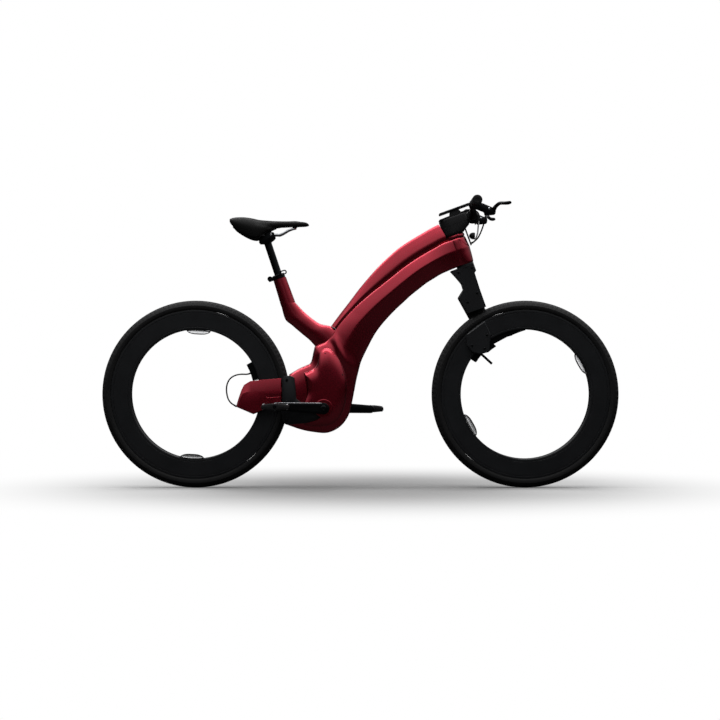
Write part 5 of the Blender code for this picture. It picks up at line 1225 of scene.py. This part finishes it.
def makePad():
    rows = dense(saddle["stations"], 5)
    loops = []
    for along, half, drop, low in rows:
        over, under = saddleHalf(along, half, drop, low, 0.0006)
        side = dense(over, 4) + dense(under, 2)
        x = saddle["rear"] + min(max(along, 0.0005), 0.2865)
        loops.append([(x, -y, z) for y, z in side] + [(x, y, z) for y, z in reversed(side[1:-1])])
    pad = makePiece("saddleSewn", loft(loops), "saddle_skin", "frame", ("saddle_pad",), 70.0)
    modify(pad, "REMESH", mode="VOXEL", voxel_size=saddle["voxel"], use_smooth_shade=True)
    settle(pad)
    before = [vertex.co.copy() for vertex in pad.data.vertices]
    cloth = modify(pad, "CLOTH")
    cloth.settings.quality = 6
    cloth.settings.mass = 0.3
    cloth.settings.use_pressure = True
    cloth.settings.uniform_pressure_force = saddle["pressure"]
    cloth.settings.tension_stiffness = 40.0
    cloth.settings.compression_stiffness = 40.0
    cloth.settings.effector_weights.gravity = 0.0
    cloth.collision_settings.use_collision = False
    for number in range(1, saddle["frames"] + 1):
        bpy.context.scene.frame_set(number)
    settle(pad)
    for vertex, old in zip(pad.data.vertices, before):
        way = vertex.co - old
        limit = saddle["cap"] if way.z > -0.0002 else saddle["capBelow"]
        if way.length > limit:
            vertex.co = old + way * (limit / way.length)
    bpy.context.scene.frame_set(1)
    modify(pad, "SUBSURF", levels=1, render_levels=1)
    settle(pad)
    sew(pad)


def sew(pad):
    # Two seams from the tail to the nose and a shallow channel along the middle
    rows = dense(saddle["stations"], 5)
    for vertex in pad.data.vertices:
        along = vertex.co.x - saddle["rear"]
        half = 0.0
        for a, b in zip(rows, rows[1:]):
            if a[0] <= along <= b[0]:
                half = a[1] + (b[1] - a[1]) * (along - a[0]) / max(b[0] - a[0], 1e-6)
        if vertex.normal.z > 0.25 and half:
            off = abs(abs(vertex.co.y) - 0.70 * half)
            ends = smoothShare(along, 0.004, 0.03) * (1 - smoothShare(along, 0.255, 0.28))
            sink = 0.0016 * math.exp(-(off / 0.0021) ** 2) * ends
            ridge = smoothShare(along, 0.045, 0.085) * (1.0 - smoothShare(along, 0.185, 0.235))
            sink += 0.0034 * ridge * math.exp(-(vertex.co.y / 0.0085) ** 2)
            vertex.co.z -= sink


def makeSaddleBase():
    wall = saddle["shellWall"]
    loops = []
    for along, half, drop, low in dense(saddle["stations"], 5):
        if not 0.010 < along < 0.168:
            continue
        over, under = saddleHalf(along, half, drop, low)
        over = [(y - 0.0006 if y else 0.0, z - 0.0006) for y, z in under]
        below = [(max(y - wall, 0.0), z - wall * (0.2 if z == over[0][1] else 1.0)) for y, z in reversed(over)]
        upper = dense(over, 4)
        lower = dense(below, 4)
        x = saddle["rear"] + along
        right = [(x, -y, z) for y, z in upper]
        left = [(x, y, z) for y, z in reversed(upper[:-1])]
        leftLow = [(x, y, z) for y, z in reversed(lower[1:])]
        rightLow = [(x, -y, z) for y, z in lower[1:]]
        loops.append(right + left + leftLow + [(x, 0.0, lower[0][1])] + rightLow)
    base = makePiece("saddleShell", loft(loops), "black_plastic", "frame", ("saddle_base",), 50.0)
    y, z = seat["railSpacing"] / 2, seat["railUp"]
    for x0, x1, y0, y1, low, high in ((0.126, 0.144, -0.013, 0.013, z + 0.0273, z + 0.035),
                                      (-0.076, -0.059, -y - 0.008, -y + 0.004, z + 0.0290, z + 0.035),
                                      (-0.076, -0.059, y - 0.004, y + 0.008, z + 0.0290, z + 0.035)):
        lug = softened([(x0, low), (x1, low), (x1, high), (x0, high)], 0.002)
        cutWith(base, plate(lug, y0, y1, 0.0015), "UNION")


def makeSaddleRails():
    y, z = seat["railSpacing"] / 2, seat["railUp"]
    side = [(x - 0.225, y - inward, z + up) for x, inward, up in saddle["rail"]]
    route = [(x, -across, up) for x, across, up in side] + [(x, across, up) for x, across, up in reversed(side)]
    r = seat["railRadius"]
    makePiece("railsBent", tube(route, [(0.0, r), (1.0, r)], 20, 5), "bright_aluminium", "frame",
              ("saddle_rails",), 50.0)


makePad()
makeSaddleBase()
makeSaddleRails()
print("seat made")


# Bolts that hold the covers, the boot, the crown and the calipers
def makeFixings():
    for label, side in sides:
        y = side * (cover["inner"] + 0.50 * cover["thick"])
        spots = [(-0.054, 0.118), (0.006, 0.196), (0.066, 0.120), (0.060, 0.010)]
        if side > 0.0:
            spots.append((-0.058, -0.030))  # the right arm lies over this one
        bolts = [boltMesh((crankAxle.x + x, y, crankAxle.z + z), 0.0040, 0.0026, (0.0, side, 0.0))
                 for x, z in spots]
        makePiece("coverBolts" + label.capitalize(), joined(*bolts), "dark_aluminium", "frame")
    boot = [boltMesh((frontAxle.x + x, -0.0473, frontAxle.z + z), 0.0042, 0.0022)
            for x, z in ((-0.196, 0.176), (-0.150, 0.166), (-0.142, 0.214))]
    crown = [boltMesh((x, -0.030, z), 0.0042, 0.0022)
             for x, z in ((0.018, -0.020), (-0.034, -0.020), (0.004, -0.112), (-0.040, -0.132))]
    makePiece("forkBolts", joined(*boot, moved(joined(*crown), steering)), "dark_aluminium", "steering")
    for name, axle, body, angles in (("rear", rearAxle, "frame", (17.0, 26.0)),
                                     ("front", frontAxle, "steering", (134.0, 144.5))):
        bolts = []
        for angle in angles:
            out = Vector((math.cos(math.radians(angle)), 0.0, math.sin(math.radians(angle))))
            bolts.append(boltMesh(axle + out * 0.2131 + Vector((0.0, 0.0245, 0.0)), 0.0038, 0.0030, -out))
        makePiece(name + "CaliperBolts", joined(*bolts), "dark_aluminium", body)


makeFixings()
print("fixings made")


# Camera at the photograph's angle: level, from the right side
cameraData = bpy.data.cameras.new("camera")
cameraData.sensor_width = 36.0
cameraData.lens = 75.57
cameraData.clip_end = 200.0
camera = bpy.data.objects.new("camera", cameraData)
camera.location = (0.372, -5.5, -0.516)
camera.rotation_euler = (math.radians(90.0), 0.0, 0.0)
bpy.context.scene.collection.objects.link(camera)
bpy.context.scene.camera = camera


# Floor, lamps and world
studio = {"floorSize": 60.0, "topPower": 62.0, "frontPower": 26.0, "backPower": 28.0, "fillPower": 2.5,
          "ambient": 0.09, "bounce": "#474747",  # the floor's tone as the bicycle sees it
          # Middle, length, width and depth of the painted shadow on the floor
          "paintedShadeMiddle": 0.41, "paintedShadeLong": 1.10, "paintedShadeWide": 0.82, "paintedShadeDepth": 0.62}


def makeFloor():
    mesh = bmesh.new()
    half = studio["floorSize"] / 2
    corners = ((-half, -half), (half, -half), (half, half), (-half, half))
    mesh.faces.new([mesh.verts.new((x, y, ground)) for x, y in corners])
    floor = newObject("floor", mesh)
    material = bpy.data.materials.new("studio floor")
    material.use_nodes = True
    tree = material.node_tree
    tree.nodes.clear()
    # Pure white away from the bicycle, with a painted shadow around it: the floor's colour and white glow
    # darken in a soft ellipse under the bicycle, on top of the real shadows from the lamps
    path = addNode(tree, "ShaderNodeLightPath")
    place = addNode(tree, "ShaderNodeTexCoord")
    long, wide = studio["paintedShadeLong"], studio["paintedShadeWide"]
    centred = addNode(tree, "ShaderNodeMapping",
                      values={"Location": (-studio["paintedShadeMiddle"] / long, 0.0, 0.0),
                              "Scale": (1.0 / long, 1.0 / wide, 0.0)}, links={"Vector": (place, "Object")})
    away = addNode(tree, "ShaderNodeVectorMath", {"operation": "LENGTH"}, links={0: (centred, "Vector")})
    # Painted shadow: the floor's colour for the camera and its white glow both get darker towards the middle of
    # the ellipse
    paintedShadow = addNode(tree, "ShaderNodeMapRange", {"interpolation_type": "SMOOTHERSTEP"},
                    {"From Max": 1.55, "To Min": 1.0 - studio["paintedShadeDepth"]}, {"Value": (away, "Value")})
    far = addNode(tree, "ShaderNodeMapRange", {"interpolation_type": "SMOOTHSTEP"},
                  {"From Min": 0.3, "From Max": 1.5, "To Min": 0.15}, {"Value": (away, "Value")})
    seen = addNode(tree, "ShaderNodeMath", {"operation": "MULTIPLY"},
                   links={0: (path, "Is Camera Ray"), 1: (far, "Result")})
    shade = addNode(tree, "ShaderNodeMix", {"data_type": "RGBA"}, {6: hexColour(studio["bounce"])},
                    {0: (path, "Is Camera Ray"), 7: (paintedShadow, "Result")})
    matte = addNode(tree, "ShaderNodeBsdfDiffuse", links={"Color": (shade, 2)})
    white = addNode(tree, "ShaderNodeEmission", values={"Color": (1.0, 1.0, 1.0, 1.0)},
                    links={"Strength": (paintedShadow, "Result")})
    mixed = addNode(tree, "ShaderNodeMixShader",
                    links={0: (seen, "Value"), 1: (matte, "BSDF"), 2: (white, "Emission")})
    addNode(tree, "ShaderNodeOutputMaterial", links={"Surface": (mixed, "Shader")})
    floor.data.materials.append(material)


def makeLamp(name, place, target, size, power):
    data = bpy.data.lights.new(name, "AREA")
    data.shape = "RECTANGLE"
    data.size, data.size_y = size
    data.energy = power
    lamp = bpy.data.objects.new(name, data)
    lamp.location = place
    lamp.rotation_euler = (Vector(target) - Vector(place)).to_track_quat("-Z", "Y").to_euler()
    bpy.context.scene.collection.objects.link(lamp)


def makeWorld():
    world = bpy.data.worlds.new("studio")
    bpy.context.scene.world = world
    world.use_nodes = True
    tree = world.node_tree
    tree.nodes.clear()
    path = addNode(tree, "ShaderNodeLightPath")
    place = addNode(tree, "ShaderNodeTexCoord")
    split = addNode(tree, "ShaderNodeSeparateXYZ", links={0: (place, "Generated")})
    sky = addNode(tree, "ShaderNodeMapRange", values={"From Min": 0.12, "From Max": 0.62, "To Min": 0.03},
                  links={"Value": (split, "Z")})
    glossy = addNode(tree, "ShaderNodeMath", {"operation": "MULTIPLY"},
                     links={0: (path, "Is Glossy Ray"), 1: (sky, "Result")})
    clear = addNode(tree, "ShaderNodeMath", {"operation": "MAXIMUM"},
                    links={0: (path, "Is Camera Ray"), 1: (path, "Is Transmission Ray")})
    seen = addNode(tree, "ShaderNodeMath", {"operation": "MAXIMUM"},
                   links={0: (clear, "Value"), 1: (glossy, "Value")})
    soft = addNode(tree, "ShaderNodeMath", {"operation": "MULTIPLY"}, {1: studio["ambient"]},
                   {0: (path, "Is Diffuse Ray")})
    level = addNode(tree, "ShaderNodeMath", {"operation": "MAXIMUM"},
                    links={0: (seen, "Value"), 1: (soft, "Value")})
    back = addNode(tree, "ShaderNodeBackground", values={"Color": (1.0, 1.0, 1.0, 1.0)},
                   links={"Strength": (level, "Value")})
    addNode(tree, "ShaderNodeOutputWorld", links={"Surface": (back, "Background")})
    world.cycles.sampling_method = "NONE"


makeFloor()
makeLamp("top", (0.37, 0.0, 2.0), (0.37, 0.0, -0.5), (4.4, 0.6), studio["topPower"])
makeLamp("front", (0.30, -1.15, 1.8), (0.37, 0.0, -0.6), (3.6, 0.8), studio["frontPower"])
makeLamp("back", (0.44, 1.5, 1.6), (0.37, 0.0, -0.6), (3.6, 0.9), studio["backPower"])
makeLamp("fill", (-0.6, -3.8, 0.8), (0.37, 0.0, -0.55), (2.6, 2.0), studio["fillPower"])
makeWorld()
bpy.context.scene.view_settings.view_transform = "Standard"
print("studio made")
